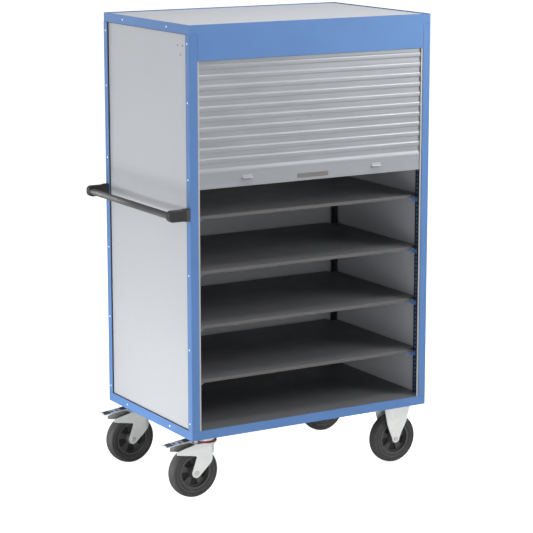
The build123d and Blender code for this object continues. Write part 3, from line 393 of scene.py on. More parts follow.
def merged_copy(node):
    """A welded copy of a CAD node's mesh, with its flat faces joined up."""
    mesh_builder = bmesh.new()
    mesh_builder.from_mesh(frame["nodes"][node].data)
    bmesh.ops.remove_doubles(mesh_builder, verts=mesh_builder.verts, dist=WELD_DISTANCE)
    bmesh.ops.dissolve_limit(
        mesh_builder,
        angle_limit=math.radians(FLAT_ANGLE),
        use_dissolve_boundaries=False,
        verts=mesh_builder.verts,
        edges=mesh_builder.edges,
    )
    return mesh_builder


def eased(node, name, finish, width, segments=2, degrees=SHARP_ANGLE):
    """A copy of a CAD node with its sharp edges rounded, standing for that node."""
    mesh_builder = merged_copy(node)
    round_edges(mesh_builder, sharp_edges(mesh_builder, degrees), width, segments)
    body = frame["nodes"][node]["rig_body"]
    piece = placed(mesh_builder, name, finish, body)
    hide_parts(node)
    return piece


def paint(node, finish):
    """Gives a CAD node one of the finishes."""
    mesh_object = frame["nodes"][node]
    if not mesh_object.material_slots:
        mesh_object.data.materials.append(None)
    for entry in mesh_object.material_slots:
        entry.material = FINISHES[finish]


def extruded(mesh_builder, points, along):
    """A closed prism: one face through the points, pushed along a vector."""
    face = mesh_builder.faces.new([mesh_builder.verts.new(point) for point in points])
    grown = bmesh.ops.extrude_face_region(mesh_builder, geom=[face])
    verts = [item for item in grown["geom"] if isinstance(item, bmesh.types.BMVert)]
    bmesh.ops.translate(mesh_builder, verts=verts, vec=along)


def block(mesh_builder, size, place):
    """A box of the given size about its centre. Gives back the set of its vertices."""
    verts = bmesh.ops.create_cube(mesh_builder, size=1)["verts"]
    bmesh.ops.scale(mesh_builder, verts=verts, vec=size)
    bmesh.ops.translate(mesh_builder, verts=verts, vec=place)
    return set(verts)


def turned(mesh_builder, profile, centre, steps):
    """A ring turned about the Y axis through centre. The profile holds (radius, y) pairs."""
    points = [(centre[0], centre[1] + y, centre[2] + radius) for radius, y in profile]
    verts = [mesh_builder.verts.new(point) for point in points]
    edges = [mesh_builder.edges.new((a, b)) for a, b in zip(verts, verts[1:] + verts[:1])]
    bmesh.ops.spin(
        mesh_builder,
        geom=verts + edges,
        cent=centre,
        axis=(0, 1, 0),
        angle=math.tau,
        steps=steps,
        use_merge=True,
        use_duplicate=False,
    )
    bmesh.ops.remove_doubles(mesh_builder, verts=mesh_builder.verts, dist=WELD_DISTANCE)


def middle_of(node):
    """The centre of a node's box."""
    return tuple((low + high) / 2 for low, high in zip(*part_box(node)))


# Settings


class CupboardSettings(bpy.types.PropertyGroup):
    """Sizes and colours that a user may change."""

    frame_blue: FloatVectorProperty(
        name="Frame blue",
        description="Powder coat of the folded frame",
        subtype="COLOR",
        min=0,
        max=1,
        default=linear(85, 121, 172),
    )
    panel_zinc: FloatVectorProperty(
        name="Panel zinc",
        description="Galvanised side panels and roof",
        subtype="COLOR",
        min=0,
        max=1,
        default=linear(171, 173, 177),
    )
    slat_aluminium: FloatVectorProperty(
        name="Slat aluminium",
        description="Slats and bottom bar of the shutter",
        subtype="COLOR",
        min=0,
        max=1,
        default=linear(150, 153, 158),
    )
    board_grey: FloatVectorProperty(
        name="Board grey",
        description="Coating of the shelf boards",
        subtype="COLOR",
        min=0,
        max=1,
        default=linear(94, 95, 98),
    )
    handle_black: FloatVectorProperty(
        name="Handle black",
        description="Moulded arms of the push handle",
        subtype="COLOR",
        min=0,
        max=1,
        default=linear(32, 32, 32),
    )
    slat_pitch: FloatProperty(
        name="Slat pitch",
        description="Height of one slat from seam to seam",
        unit="LENGTH",
        default=38.5 * MM,
    )
    slat_sheet: FloatProperty(
        name="Slat sheet",
        description="Thickness of the slat's sheet",
        unit="LENGTH",
        default=1.1 * MM,
    )
    slat_count: IntProperty(
        name="Slats",
        description="Slats that close the whole opening",
        default=34,
        min=12,
    )
    fold_radius: FloatProperty(
        name="Edge radius",
        description="Rounding of the frame's sheet edges",
        unit="LENGTH",
        default=0.6 * MM,
    )
    moulding_radius: FloatProperty(
        name="Moulding radius",
        description="Rounding of the moulded handle arms",
        unit="LENGTH",
        default=2.0 * MM,
    )


# Stage, lights and camera

CAMERA_PLACE = (-4.0525, -6.9305, 2.4389)
CAMERA_YAW = 0.536
CAMERA_PITCH = 0.201
CAMERA_LENS = 139.961
CAMERA_SHIFT_X = -0.0095
SENSOR_WIDTH = 36
FLOOR_HALF = 40.0
FLOOR_GLOW = 0.86
WORLD_LIGHT = 0.32
LAMPS = (
    # name, place, aim, size, power, colour
    ("right_key", (2.1, -2.3, 2.3), (0.1, -0.35, 0.95), 1.5, 66, (1.0, 0.99, 0.98)),
    ("left_fill", (-4.6, -0.1, 0.8), (-0.5, 0.0, 1.0), 0.7, 78, (0.98, 0.99, 1.0)),
    ("left_high", (-4.0, 0.4, 3.6), (-0.5, 0.0, 1.5), 2.0, 15, (1.0, 1.0, 1.0)),
    ("left_low", (-1.4, 0.1, 0.06), (-0.5, 0.1, 0.15), 0.8, 11, (1.0, 1.0, 1.0)),
    ("overhead", (0.3, -1.4, 4.7), (0.05, 0.0, 1.7), 2.2, 84, (1.0, 1.0, 1.0)),
    ("bay_glow", (0.05, 0.05, 1.62), (0.05, 0.05, 1.0), 0.4, 0.25, (1.0, 1.0, 1.0)),
    ("front_fill", (-1.8, -5.4, 1.12), (0.1, 0.0, 0.9), 2.2, 26, (1.0, 1.0, 1.0)),
    ("castor_fill", (-1.9, -2.2, 0.3), (-0.45, 0.1, 0.15), 0.8, 9, (1.0, 1.0, 1.0)),
    ("rear_fill", (-1.4, 5.4, 1.3), (0.0, 0.3, 0.9), 2.4, 50, (1.0, 1.0, 1.0)),
)


class CUPBOARD_OT_stage(bpy.types.Operator):
    """Makes the finishes, pale floor, soft lights and camera"""

    bl_idname = "cupboard.stage"
    bl_label = "Stage, lights and camera"

    def execute(self, context):
        scene = context.scene
        make_finishes(scene.cupboard)
        scene.view_settings.view_transform = "Standard"
        self.floor(scene)
        self.world(scene)
        for name, place, aim, size, power, colour in LAMPS:
            light = bpy.data.lights.new(name, "AREA")
            light.shape = "DISK"
            light.size = size
            light.energy = power
            light.color = colour
            lamp = bpy.data.objects.new(name, light)
            lamp.location = place
            direction = Vector(aim) - Vector(place)
            lamp.rotation_euler = direction.to_track_quat("-Z", "Y").to_euler()
            lamp.visible_camera = False
            scene.collection.objects.link(lamp)

        optics = bpy.data.cameras.new("photo_camera")
        optics.lens = CAMERA_LENS
        optics.sensor_width = SENSOR_WIDTH
        optics.shift_x = CAMERA_SHIFT_X
        camera = bpy.data.objects.new("photo_camera", optics)
        camera.location = CAMERA_PLACE
        camera.rotation_euler = (math.pi / 2 - CAMERA_PITCH, 0, -CAMERA_YAW)
        scene.collection.objects.link(camera)
        scene.camera = camera
        return {"FINISHED"}

    def floor(self, scene):
        """A pale floor that looks white to the camera and lights the object no more than paint."""
        floor = bmesh.new()
        bmesh.ops.create_grid(floor, x_segments=1, y_segments=1, size=FLOOR_HALF)
        mesh = bpy.data.meshes.new("studio_floor")
        floor.to_mesh(mesh)
        floor.free()
        stage = bpy.data.objects.new("studio_floor", mesh)
        scene.collection.objects.link(stage)
        pale = Finish("studio_floor_paint", (0.8, 0.8, 0.8), 0.9)
        pale.set("Emission Color", (1, 1, 1, 1))
        seen = pale.node("ShaderNodeLightPath").outputs["Is Camera Ray"]
        glow = pale.node("ShaderNodeMath", operation="MULTIPLY")
        glow.inputs[1].default_value = FLOOR_GLOW
        pale.link(seen, glow.inputs[0])
        pale.link(glow.outputs[0], pale.shader.inputs["Emission Strength"])
        mesh.materials.append(pale.material)

    def world(self, scene):
        """An even dim light all round, white where the camera looks at it."""
        world = bpy.data.worlds.new("studio_world")
        world.use_nodes = True
        tree = world.node_tree
        background = tree.nodes["Background"]
        background.inputs["Color"].default_value = (1, 1, 1, 1)
        seen = tree.nodes.new("ShaderNodeLightPath").outputs["Is Camera Ray"]
        strength = tree.nodes.new("ShaderNodeMapRange")
        strength.inputs["To Min"].default_value = WORLD_LIGHT
        strength.inputs["To Max"].default_value = 1
        tree.links.new(seen, strength.inputs["Value"])
        tree.links.new(strength.outputs["Result"], background.inputs["Strength"])
        scene.world = world


# Frame

END_TOLERANCE = 0.1 * MM
POST_END_CHAMFER = 2.2 * MM
POST_FOLD_ANGLE = 50
UPRIGHT_SHEET = 2.0 * MM
UPRIGHT_RAIL = 5.5 * MM
RUNG_PITCH = 52 * MM / 3
RUNG_HEIGHT = 6.0 * MM
BACKING_GAP = 0.2 * MM
BACKING_SHEET = 1.5 * MM


def upright_bar(mesh_builder, x_span, y_span, z_span):
    """One square bar between two heights."""
    (x_start, x_end), (y_start, y_end), (z_start, z_end) = x_span, y_span, z_span
    corners = ((x_start, y_start), (x_end, y_start), (x_end, y_end), (x_start, y_end))
    outline = [(x, y, z_start) for x, y in corners]
    extruded(mesh_builder, outline, (0, 0, z_end - z_start))


class CUPBOARD_OT_frame(bpy.types.Operator):
    """Rounds the edges of the blue folded frame and punches the slotted uprights"""

    bl_idname = "cupboard.frame"
    bl_label = "Folded frame"

    def execute(self, context):
        radius = context.scene.cupboard.fold_radius
        for node, name in (
            ("base_frame", "folded_base_frame"),
            ("top_frame", "folded_top_frame"),
            ("front_fascia", "folded_fascia"),
        ):
            eased(node, name, "blue", radius)
        for corner in WHEEL_CORNERS:
            self.post(f"post_{corner}", radius)
        for y_name in ("front", "rear"):
            for x_name, side in (("left", -1), ("right", 1)):
                self.upright(f"slotted_upright_{y_name}_{x_name}", side)
        eased("shelf_clips", "pressed_shelf_clips", "blue", radius)
        return {"FINISHED"}

    def post(self, node, radius):
        """A corner post whose chamfered ends are painted dark blue, painted shade in the seam to
        the rails.
        """
        low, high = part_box(node)
        post = merged_copy(node)
        ends = [
            edge
            for edge in sharp_edges(post)
            if all(
                min(vert.co.z - low[2], high[2] - vert.co.z) < END_TOLERANCE
                for vert in edge.verts
            )
        ]
        # The end chamfers take the dark blue, painted shade in the seam
        for face in round_edges(post, ends, POST_END_CHAMFER, 1):
            face.material_index = 1
        round_edges(post, sharp_edges(post, POST_FOLD_ANGLE), radius, 2)
        piece = placed(post, f"folded_{node}", ("blue", "seam"), "cabinet")
        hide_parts(node)

    def upright(self, node, side):
        """A channel with two flanges, two rails and rungs between its punched slots, all in a dark
        coat that is painted shade.
        """
        low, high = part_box(node)
        web_x, wall_x = (low[0], high[0]) if side > 0 else (high[0], low[0])
        web_back = web_x + side * UPRIGHT_SHEET
        whole = (low[2], high[2])
        ladder = bmesh.new()
        for edge_y, inward in ((low[1], 1), (high[1], -1)):
            rail_start = edge_y + inward * UPRIGHT_SHEET
            rail_end = edge_y + inward * UPRIGHT_RAIL
            upright_bar(ladder, (web_x, wall_x), (edge_y, rail_start), whole)
            upright_bar(ladder, (web_x, web_back), (rail_start, rail_end), whole)
        between = (low[1] + UPRIGHT_RAIL, high[1] - UPRIGHT_RAIL)
        for index in range(int((high[2] - low[2]) / RUNG_PITCH)):
            rung_z = low[2] + RUNG_PITCH * index
            upright_bar(ladder, (web_x, web_back), between, (rung_z, rung_z + RUNG_HEIGHT))
        # The channel's dark coat is painted shade; the blue strip behind the front ones shows
        # between the rungs
        piece = finished(ladder, f"punched_{node}", "upright", "cabinet", smooth=False)
        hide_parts(node)
        if "front" in node:
            strip = bmesh.new()
            start_x = web_x + side * (UPRIGHT_SHEET + BACKING_GAP)
            x_span = (start_x, start_x + side * BACKING_SHEET)
            upright_bar(strip, x_span, (low[1] + UPRIGHT_SHEET, high[1] - UPRIGHT_SHEET), whole)
            name = f"backing_strip_{node}"
            finished(strip, name, "blue", "cabinet", smooth=False)


# Panels and boards

# Dark strips in the gap round each side panel, painted shade
GAP_SHADE_WIDTH = 1.3 * MM
GAP_SHADE_INSET = 1.2 * MM
INSIDE_LEAN = 0.1
BOARD_EDGE_RADIUS = 0.8 * MM
EDGE_BAND_SLOPE = 0.6


class CUPBOARD_OT_panels(bpy.types.Operator):
    """Finishes the sheet panels, with their inner faces painted lighter as painted light, and lays
    dark strips round each side panel as painted shade in the gap
    """

    bl_idname = "cupboard.panels"
    bl_label = "Sheet panels"

    def execute(self, context):
        middle = Vector((MIDDLE_X, MIDDLE_Y, 0))
        for node in ("side_panel_left", "side_panel_right", "back_panel"):
            sheet = merged_copy(node)
            sheet.normal_update()
            # Faces turned to the middle take the zinc painted lighter: painted light
            for face in sheet.faces:
                inwards = middle - face.calc_center_median()
                inwards.z = 0
                face.material_index = 1 if face.normal.dot(inwards) > INSIDE_LEAN else 0
            name, finish = f"galvanised_{node}", ("panel", "inside")
            piece = placed(sheet, name, finish, "cabinet", smooth=False)
            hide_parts(node)
        # The roof takes the zinc painted lighter: painted light
        paint("roof_panel", "roof")
        for side in ("left", "right"):
            self.gasket(side)
        return {"FINISHED"}

    def gasket(self, side):
        """Four dark strips along the lips of the posts and rails, down to the recessed panel:
        painted shade in the gap.
        """
        front_low, front_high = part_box(f"post_front_{side}")
        rear_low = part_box(f"post_rear_{side}")[0]
        panel_low, panel_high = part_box(f"side_panel_{side}")
        if side == "left":
            inner_x, outer_x = panel_low[0], front_low[0] + GAP_SHADE_INSET
        else:
            inner_x, outer_x = panel_high[0], front_high[0] - GAP_SHADE_INSET
        y_low, y_high = front_high[1], rear_low[1]
        z_low, z_high = BASE_HIGH[2], front_high[2]
        ring = bmesh.new()
        for y_start, y_end, z_start, z_end in (
            (y_low, y_low + GAP_SHADE_WIDTH, z_low, z_high),
            (y_high - GAP_SHADE_WIDTH, y_high, z_low, z_high),
            (y_low + GAP_SHADE_WIDTH, y_high - GAP_SHADE_WIDTH, z_low, z_low + GAP_SHADE_WIDTH),
            (y_low + GAP_SHADE_WIDTH, y_high - GAP_SHADE_WIDTH, z_high - GAP_SHADE_WIDTH, z_high),
        ):
            corners = ((y_start, z_start), (y_end, z_start), (y_end, z_end), (y_start, z_end))
            extruded(ring, [(inner_x, y, z) for y, z in corners], (outer_x - inner_x, 0, 0))
        # the dark strips stand for the shade in the gap
        finished(ring, f"panel_painted_gap_shade_{side}", "gasket", "cabinet", smooth=False)


class CUPBOARD_OT_boards(bpy.types.Operator):
    """Shelf boards and floor board with their edge bands"""

    bl_idname = "cupboard.boards"
    bl_label = "Boards"

    def execute(self, context):
        for node in ("floor_board", "shelf_1", "shelf_2", "shelf_3", "shelf_4"):
            board = merged_copy(node)
            round_edges(board, sharp_edges(board), BOARD_EDGE_RADIUS)
            board.normal_update()
            for face in board.faces:
                face.material_index = 1 if abs(face.normal.z) < EDGE_BAND_SLOPE else 0
            body = frame["nodes"][node]["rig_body"]
            piece = placed(board, f"coated_{node}", ("board", "edge"), body)
            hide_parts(node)
        return {"FINISHED"}


# Shutter

BARREL_LOW, BARREL_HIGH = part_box("shutter_barrel")
BARREL_CENTRE = middle_of("shutter_barrel")
BARREL_RADIUS = (BARREL_HIGH[2] - BARREL_LOW[2]) / 2
BAR_JOINT = 0.4 * MM
SLAT_SETBACK = 1 * MM
NESTED_SETBACK = 0.25 * MM
SHOULDER_DEPTH = 3.9 * MM
SHOULDER_DROP = 8 * MM
CREST_DROP = 16.5 * MM
WAIST_DROP = 24 * MM
WAIST_DEPTH = 3.2 * MM
LIP_OVERHANG = 0.7 * MM
CURVE_STEPS = 6
WOUND_CURVE_STEPS = 3
HANGING_ROWS = 11
LEAD_IN_TILTS = (26, 46)
LEAD_IN_TRIM = 9 * MM
COIL_SLATS = 22
COIL_LAYER = 5.6 * MM
COIL_SEAT = 0.3 * MM
COIL_JOINT = 0.4 * MM
WOUND_ROLL = 2.4 * MM
SPRING_WIRE = 1.4 * MM
SPRING_WIRE_SIDES = 6
SPRING_PITCH = 6.0 * MM
SPRING_STEPS = 12


def slat_profile(pitch, steps):
    """(depth, drop) points of a slat's front: rounded shoulder, flat crest, undercut and a
    set back waist whose lip hangs over the next slat."""
    points = []
    for index in range(steps + 1):
        share = index / steps
        depth = SHOULDER_DEPTH * (1 - math.sin(share * math.pi / 2))
        points.append((depth, SHOULDER_DROP * share))
    for index in range(steps + 1):
        share = index / steps
        depth = WAIST_DEPTH * (1 - math.cos(share * math.pi)) / 2
        points.append((depth, CREST_DROP + (WAIST_DROP - CREST_DROP) * share))
    points.append((WAIST_DEPTH, pitch + LIP_OVERHANG))
    return points


def add_slat(mesh_builder, front_y, top_z, half_width, pitch, sheet):
    """One bent slat hung from its seam."""
    profile = slat_profile(pitch, CURVE_STEPS)
    front_line = [(front_y + depth, top_z - drop) for depth, drop in profile]
    back_line = [(y + sheet, z) for y, z in reversed(front_line)]
    outline = [(MIDDLE_X - half_width, y, z) for y, z in front_line + back_line]
    extruded(mesh_builder, outline, (2 * half_width, 0, 0))


def add_wound_slat(mesh_builder, radius, angle, sweep, half_width, settings):
    """One slat bent round the barrel, its crest facing out."""
    line = slat_profile(settings.slat_pitch, WOUND_CURVE_STEPS)
    deepest = max(depth for depth, drop in line)
    longest = line[-1][1]
    front_line = []
    for depth, drop in line:
        reach = radius + settings.slat_sheet + WOUND_ROLL * (1 - depth / deepest)
        front_line.append((reach, angle + sweep * (1 - drop / longest)))
    back_line = [(reach - settings.slat_sheet, turn) for reach, turn in reversed(front_line)]
    outline = []
    for reach, turn in front_line + back_line:
        y = BARREL_CENTRE[1] + reach * math.cos(turn)
        z = BARREL_CENTRE[2] + reach * math.sin(turn)
        outline.append((MIDDLE_X - half_width, y, z))
    extruded(mesh_builder, outline, (2 * half_width, 0, 0))


class CUPBOARD_OT_shutter_slats(bpy.types.Operator):
    """Hangs every slat of the curtain between the bar and the fascia"""

    bl_idname = "cupboard.shutter_slats"
    bl_label = "Shutter slats"

    def execute(self, context):
        settings = context.scene.cupboard
        pitch, count = settings.slat_pitch, settings.slat_count
        half_width = (BAR_HIGH[0] - BAR_LOW[0]) / 2
        travel = -SHUTTER_RANGE[0]
        bar_top = BAR_HIGH[2] + BAR_JOINT
        for index in range(count):
            row = index * HANGING_ROWS // count
            first_in_row = -(-row * count // HANGING_ROWS)
            bottom_rest = bar_top + pitch * row
            bottom_closed = bar_top - travel + pitch * index
            share = min(1.0, max(0.0, (bottom_rest - bottom_closed) / travel))
            slat = bmesh.new()
            front_y = BAR_LOW[1] + SLAT_SETBACK + NESTED_SETBACK * (index - first_in_row)
            add_slat(slat, front_y, bottom_rest + pitch, half_width, pitch, settings.slat_sheet)
            bmesh.ops.recalc_face_normals(slat, faces=slat.faces)
            name = f"shutter_slat_{index + 1:02d}"
            piece = placed(slat, name, "slat", None, ride=False)
            if share >= 1:
                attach(piece, "shutter")
            elif share <= 0:
                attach(piece, "cabinet")
            else:
                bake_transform(piece)
            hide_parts("shutter_curtain")
        joint = self.lead_in(settings, bar_top + pitch * HANGING_ROWS, half_width)
        self.wind_coil(settings, joint, half_width)
        return {"FINISHED"}

    def lead_in(self, settings, joint_z, half_width):
        """Slats that lean from the guides to the coil. Gives back where the coil takes over."""
        pitch = settings.slat_pitch
        lead_in = bmesh.new()
        joint_y = BAR_LOW[1] + SLAT_SETBACK + SHOULDER_DEPTH
        for index, tilt in enumerate(LEAD_IN_TILTS):
            angle = math.radians(tilt)
            joint_y += pitch * math.sin(angle)
            joint_z += pitch * math.cos(angle)
            already = set(lead_in.verts)
            drop = pitch - LEAD_IN_TRIM if index == 0 else pitch
            front_y = joint_y - SHOULDER_DEPTH
            add_slat(lead_in, front_y, joint_z, half_width, drop, settings.slat_sheet)
            bmesh.ops.rotate(
                lead_in,
                verts=[vert for vert in lead_in.verts if vert not in already],
                cent=(MIDDLE_X, joint_y, joint_z),
                matrix=Matrix.Rotation(-angle, 3, "X"),
            )
        piece = finished(lead_in, "lead_in_slats", "slat", "cabinet")
        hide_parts("shutter_curtain")
        return joint_y, joint_z

    def wind_coil(self, settings, last_joint, half_width):
        """Winds the upper slats on the barrel, from its wall out to the last hanging joint."""
        wound = []
        turn = 0
        for index in range(COIL_SLATS):
            radius = BARREL_RADIUS + COIL_SEAT + COIL_LAYER * turn / math.tau
            step = settings.slat_pitch / radius
            wound.append((radius, turn, step - COIL_JOINT / radius))
            turn += step
        rise, reach = last_joint[1] - BARREL_CENTRE[2], last_joint[0] - BARREL_CENTRE[1]
        start = math.atan2(rise, reach) - turn
        coil = bmesh.new()
        for radius, angle, sweep in wound:
            add_wound_slat(coil, radius, start + angle, sweep, half_width, settings)
        piece = finished(coil, "wound_shutter_coil", "slat", "barrel")
        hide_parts("shutter_coil")


class CUPBOARD_OT_bottom_bar(bpy.types.Operator):
    """Bottom bar with its pull tabs and plain strip"""

    bl_idname = "cupboard.bottom_bar"
    bl_label = "Bottom bar"

    def execute(self, context):
        eased("bottom_bar", "rolled_bottom_bar", "bar", width=0.5 * MM)
        eased("pull_lugs", "pressed_pull_tabs", "tab", width=0.4 * MM)
        eased("bar_plate", "plain_bar_strip", "strip", 0.2 * MM, segments=1)
        for side in ("left", "right"):
            node, name = f"shutter_guide_{side}", f"rolled_guide_{side}"
            eased(node, name, "guide", width=0.3 * MM, segments=1)
        return {"FINISHED"}


class CUPBOARD_OT_barrel(bpy.types.Operator):
    """Finishes the barrel, its shaft, spring and brackets"""

    bl_idname = "cupboard.barrel"
    bl_label = "Shutter barrel"

    def execute(self, context):
        for node in (
            "shutter_barrel",
            "barrel_shaft",
            "barrel_bracket_left",
            "barrel_bracket_right",
        ):
            paint(node, "steel")
        low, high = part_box("balance_spring")
        centre = middle_of("balance_spring")
        ring_radius = (high[2] - low[2]) / 2 - SPRING_WIRE
        length = high[0] - low[0] - 2 * SPRING_WIRE
        turns = int(length / SPRING_PITCH)
        steps = SPRING_STEPS * turns
        spring = bmesh.new()
        wire = bmesh.ops.create_circle(
            spring, cap_ends=False, segments=SPRING_WIRE_SIDES, radius=SPRING_WIRE
        )["verts"]
        wire_start = (low[0] + SPRING_WIRE, centre[1] + ring_radius, centre[2])
        bmesh.ops.translate(spring, verts=wire, vec=wire_start)
        bmesh.ops.spin(
            spring,
            geom=spring.verts[:] + spring.edges[:],
            cent=centre,
            axis=(1, 0, 0),
            dvec=(length / steps, 0, 0),
            angle=math.tau * turns,
            steps=steps,
            use_duplicate=False,
        )
        open_ends = [edge for edge in spring.edges if edge.is_boundary]
        bmesh.ops.holes_fill(spring, edges=open_ends, sides=0)
        body = frame["nodes"]["balance_spring"]["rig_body"]
        piece = finished(spring, "wound_balance_spring", "steel", body)
        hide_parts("balance_spring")
        return {"FINISHED"}


# Fasteners

DOME_SEGMENTS = 16
DOME_RINGS = 8
DOME_SINK_SHARE = 0.02
DOMED_HEADS = (
    # node, name, finish, slot, radius, height
    ("frame_rivets", "domed_rivets", "rivet", "rivet_metal", 3.6 * MM, 0.9 * MM),
    ("bracket_screws", "domed_bracket_screws", "steel", "zinc_plate", 4.2 * MM, 2.0 * MM),
)


def domed_head(mesh_builder, centre, radius, height):
    """A flat dome on one of the cupboard's sides."""
    x, y, z = centre
    side = 1 if x > MIDDLE_X else -1
    verts = bmesh.ops.create_uvsphere(
        mesh_builder, u_segments=DOME_SEGMENTS, v_segments=DOME_RINGS, radius=radius
    )["verts"]
    quarter = Matrix.Rotation(math.pi / 2, 3, "Y")
    bmesh.ops.rotate(mesh_builder, verts=verts, cent=(0, 0, 0), matrix=quarter)
    bmesh.ops.scale(mesh_builder, verts=verts, vec=(height / radius, 1, 1))
    place = (x - side * height * DOME_SINK_SHARE, y, z)
    bmesh.ops.translate(mesh_builder, verts=verts, vec=place)


def islands(mesh_builder):
    """The separate solids of a mesh, as lists of vertices."""
    left_over = set(mesh_builder.verts)
    groups = []
    while left_over:
        stack = [left_over.pop()]
        group = list(stack)
        while stack:
            for edge in stack.pop().link_edges:
                for vert in edge.verts:
                    if vert in left_over:
                        left_over.remove(vert)
                        group.append(vert)
                        stack.append(vert)
        groups.append(group)
    return groups


class CUPBOARD_OT_fasteners(bpy.types.Operator):
    """Rivets, screws and castor bolts"""

    bl_idname = "cupboard.fasteners"
    bl_label = "Rivets and screws"

    def execute(self, context):
        for node, name, finish, slot, radius, height in DOMED_HEADS:
            source = bmesh.new()
            source.from_mesh(frame["nodes"][node].data)
            bmesh.ops.remove_doubles(source, verts=source.verts, dist=WELD_DISTANCE)
            heads = []
            for group in islands(source):
                spans = [sorted(vert.co[axis] for vert in group) for axis in range(3)]
                low, high = spans[0][0], spans[0][-1]
                y, z = ((span[0] + span[-1]) / 2 for span in spans[1:])
                heads.append((high - height if high > MIDDLE_X else low + height, y, z))
            source.free()
            domes = bmesh.new()
            for centre in sorted(heads):
                domed_head(domes, centre, radius, height)
            piece = placed(domes, name, finish, "cabinet")
            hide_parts(node)
        paint("handle_screws", "bolt")
        node, name = "castor_bolts", "hexagon_castor_bolts"
        eased(node, name, "bolt", width=0.5 * MM)
        return {"FINISHED"}


# Push handle

ARM_EASING_SHARE = 0.6
RIB_COUNT = 7
RIB_INSET = 25 * MM
RIB_PITCH = 6.2 * MM
RIB_SIZE = (3 * MM, 1.6 * MM, 33 * MM)
RIB_EDGE_RADIUS = 0.5 * MM
FOOT_DEPTH = 14 * MM
FOOT_THICKNESS = 1.6 * MM
FOOT_MARGIN = 1 * MM
PART_SINK = 0.2 * MM
TUBE_STEPS = 96
GROOVE_EVERY = 8
GROOVE_DEPTH = 0.7 * MM


class CUPBOARD_OT_push_handle(bpy.types.Operator):
    """Moulded arms with grip ribs and the coated tube between them"""

    bl_idname = "cupboard.push_handle"
    bl_label = "Push handle"

    def execute(self, context):
        for end, facing in (("front", -1), ("rear", 1)):
            self.arm(end, facing, context.scene.cupboard.moulding_radius * ARM_EASING_SHARE)
        low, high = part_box("handle_tube")
        centre = middle_of("handle_tube")
        outer = (high[0] - low[0]) / 2
        points = []
        for index in range(TUBE_STEPS):
            angle = math.tau * index / TUBE_STEPS
            reach = outer - (GROOVE_DEPTH if index % GROOVE_EVERY == 0 else 0)
            x, z = centre[0] + reach * math.cos(angle), centre[2] + reach * math.sin(angle)
            points.append((x, low[1], z))
        tube = bmesh.new()
        extruded(tube, points, (0, high[1] - low[1], 0))
        piece = finished(tube, "coated_push_tube", "tube", "cabinet")
        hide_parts("handle_tube")
        return {"FINISHED"}

    def arm(self, end, facing, radius):
        """One moulded arm with ribs on its outer side and a lighter foot plate at the post."""
        node = f"handle_bracket_{end}"
        low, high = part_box(node)
        arm = merged_copy(node)
        round_edges(arm, sharp_edges(arm), radius, 3)
        side_y = (low[1] if end == "front" else high[1]) - facing * PART_SINK
        middle_z = (low[2] + high[2]) / 2
        for index in range(RIB_COUNT):
            rib_x = high[0] - (RIB_INSET + RIB_PITCH * index)
            rib = block(arm, RIB_SIZE, (rib_x, side_y, middle_z))
            edges = [edge for edge in arm.edges if rib.issuperset(edge.verts)]
            round_edges(arm, edges, RIB_EDGE_RADIUS, 1)
        foot_size = (FOOT_DEPTH, FOOT_THICKNESS, high[2] - low[2] - 2 * FOOT_MARGIN)
        foot_x = high[0] - FOOT_DEPTH / 2 - FOOT_MARGIN
        foot = block(arm, foot_size, (foot_x, side_y, middle_z))
        for face in arm.faces:
            face.material_index = 1 if foot.issuperset(face.verts) else 0
        name = f"moulded_arm_{end}"
        piece = placed(arm, name, ("handle", "base"), "cabinet")
        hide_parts(node)


# Castors

PEDAL_LENGTH = 128 * MM
PEDAL_DROP = 15 * MM
PEDAL_START_INSET = 2.2 * MM
TREAD_EDGE_RADIUS = 0.3 * MM
PEDAL_PADS_AND_SLOT_SHADES = (
    # start and end from the tip, bottom and top over the plate, half width, in millimetres
    (2, 30, 0.05, 1.2, 17),
    (76, 118, 0.05, 1.2, 17),
    # the last row lies under the windows: a dark strip that is painted shade
    (31, 98, -3.9, -2.7, 18.5),
)
TYRE_SIDE = (
    # radius and distance from the middle plane, from the rim to the tread, in millimetres
    (66, 18.6),
    (67.2, 21.8),
    (69.6, 22.4),
    (70.4, 20.6),
    (72.4, 20.6),
    (73.2, 23.4),
    (80, 24.3),
    (83.0, 24.5),
    (83.7, 21.8),
    (86.3, 21.8),
    (87.0, 24.2),
    (89.6, 23.6),
    (93, 21.4),
    (96.2, 18.0),
    (98.2, 14.6),
    (96.8, 13.4),
    (96.8, 12.2),
    (98.8, 11.0),
    (99.6, 7.5),
)
TYRE_STEPS = 96
# radius and distance from the middle plane of the near-black disc behind the rim's windows,
# painted shade seen through them, in millimetres
WINDOW_SHADE_DISC = ((21, 1), (57, 1), (57, -1), (21, -1))
WINDOW_SHADE_DISC_STEPS = 48


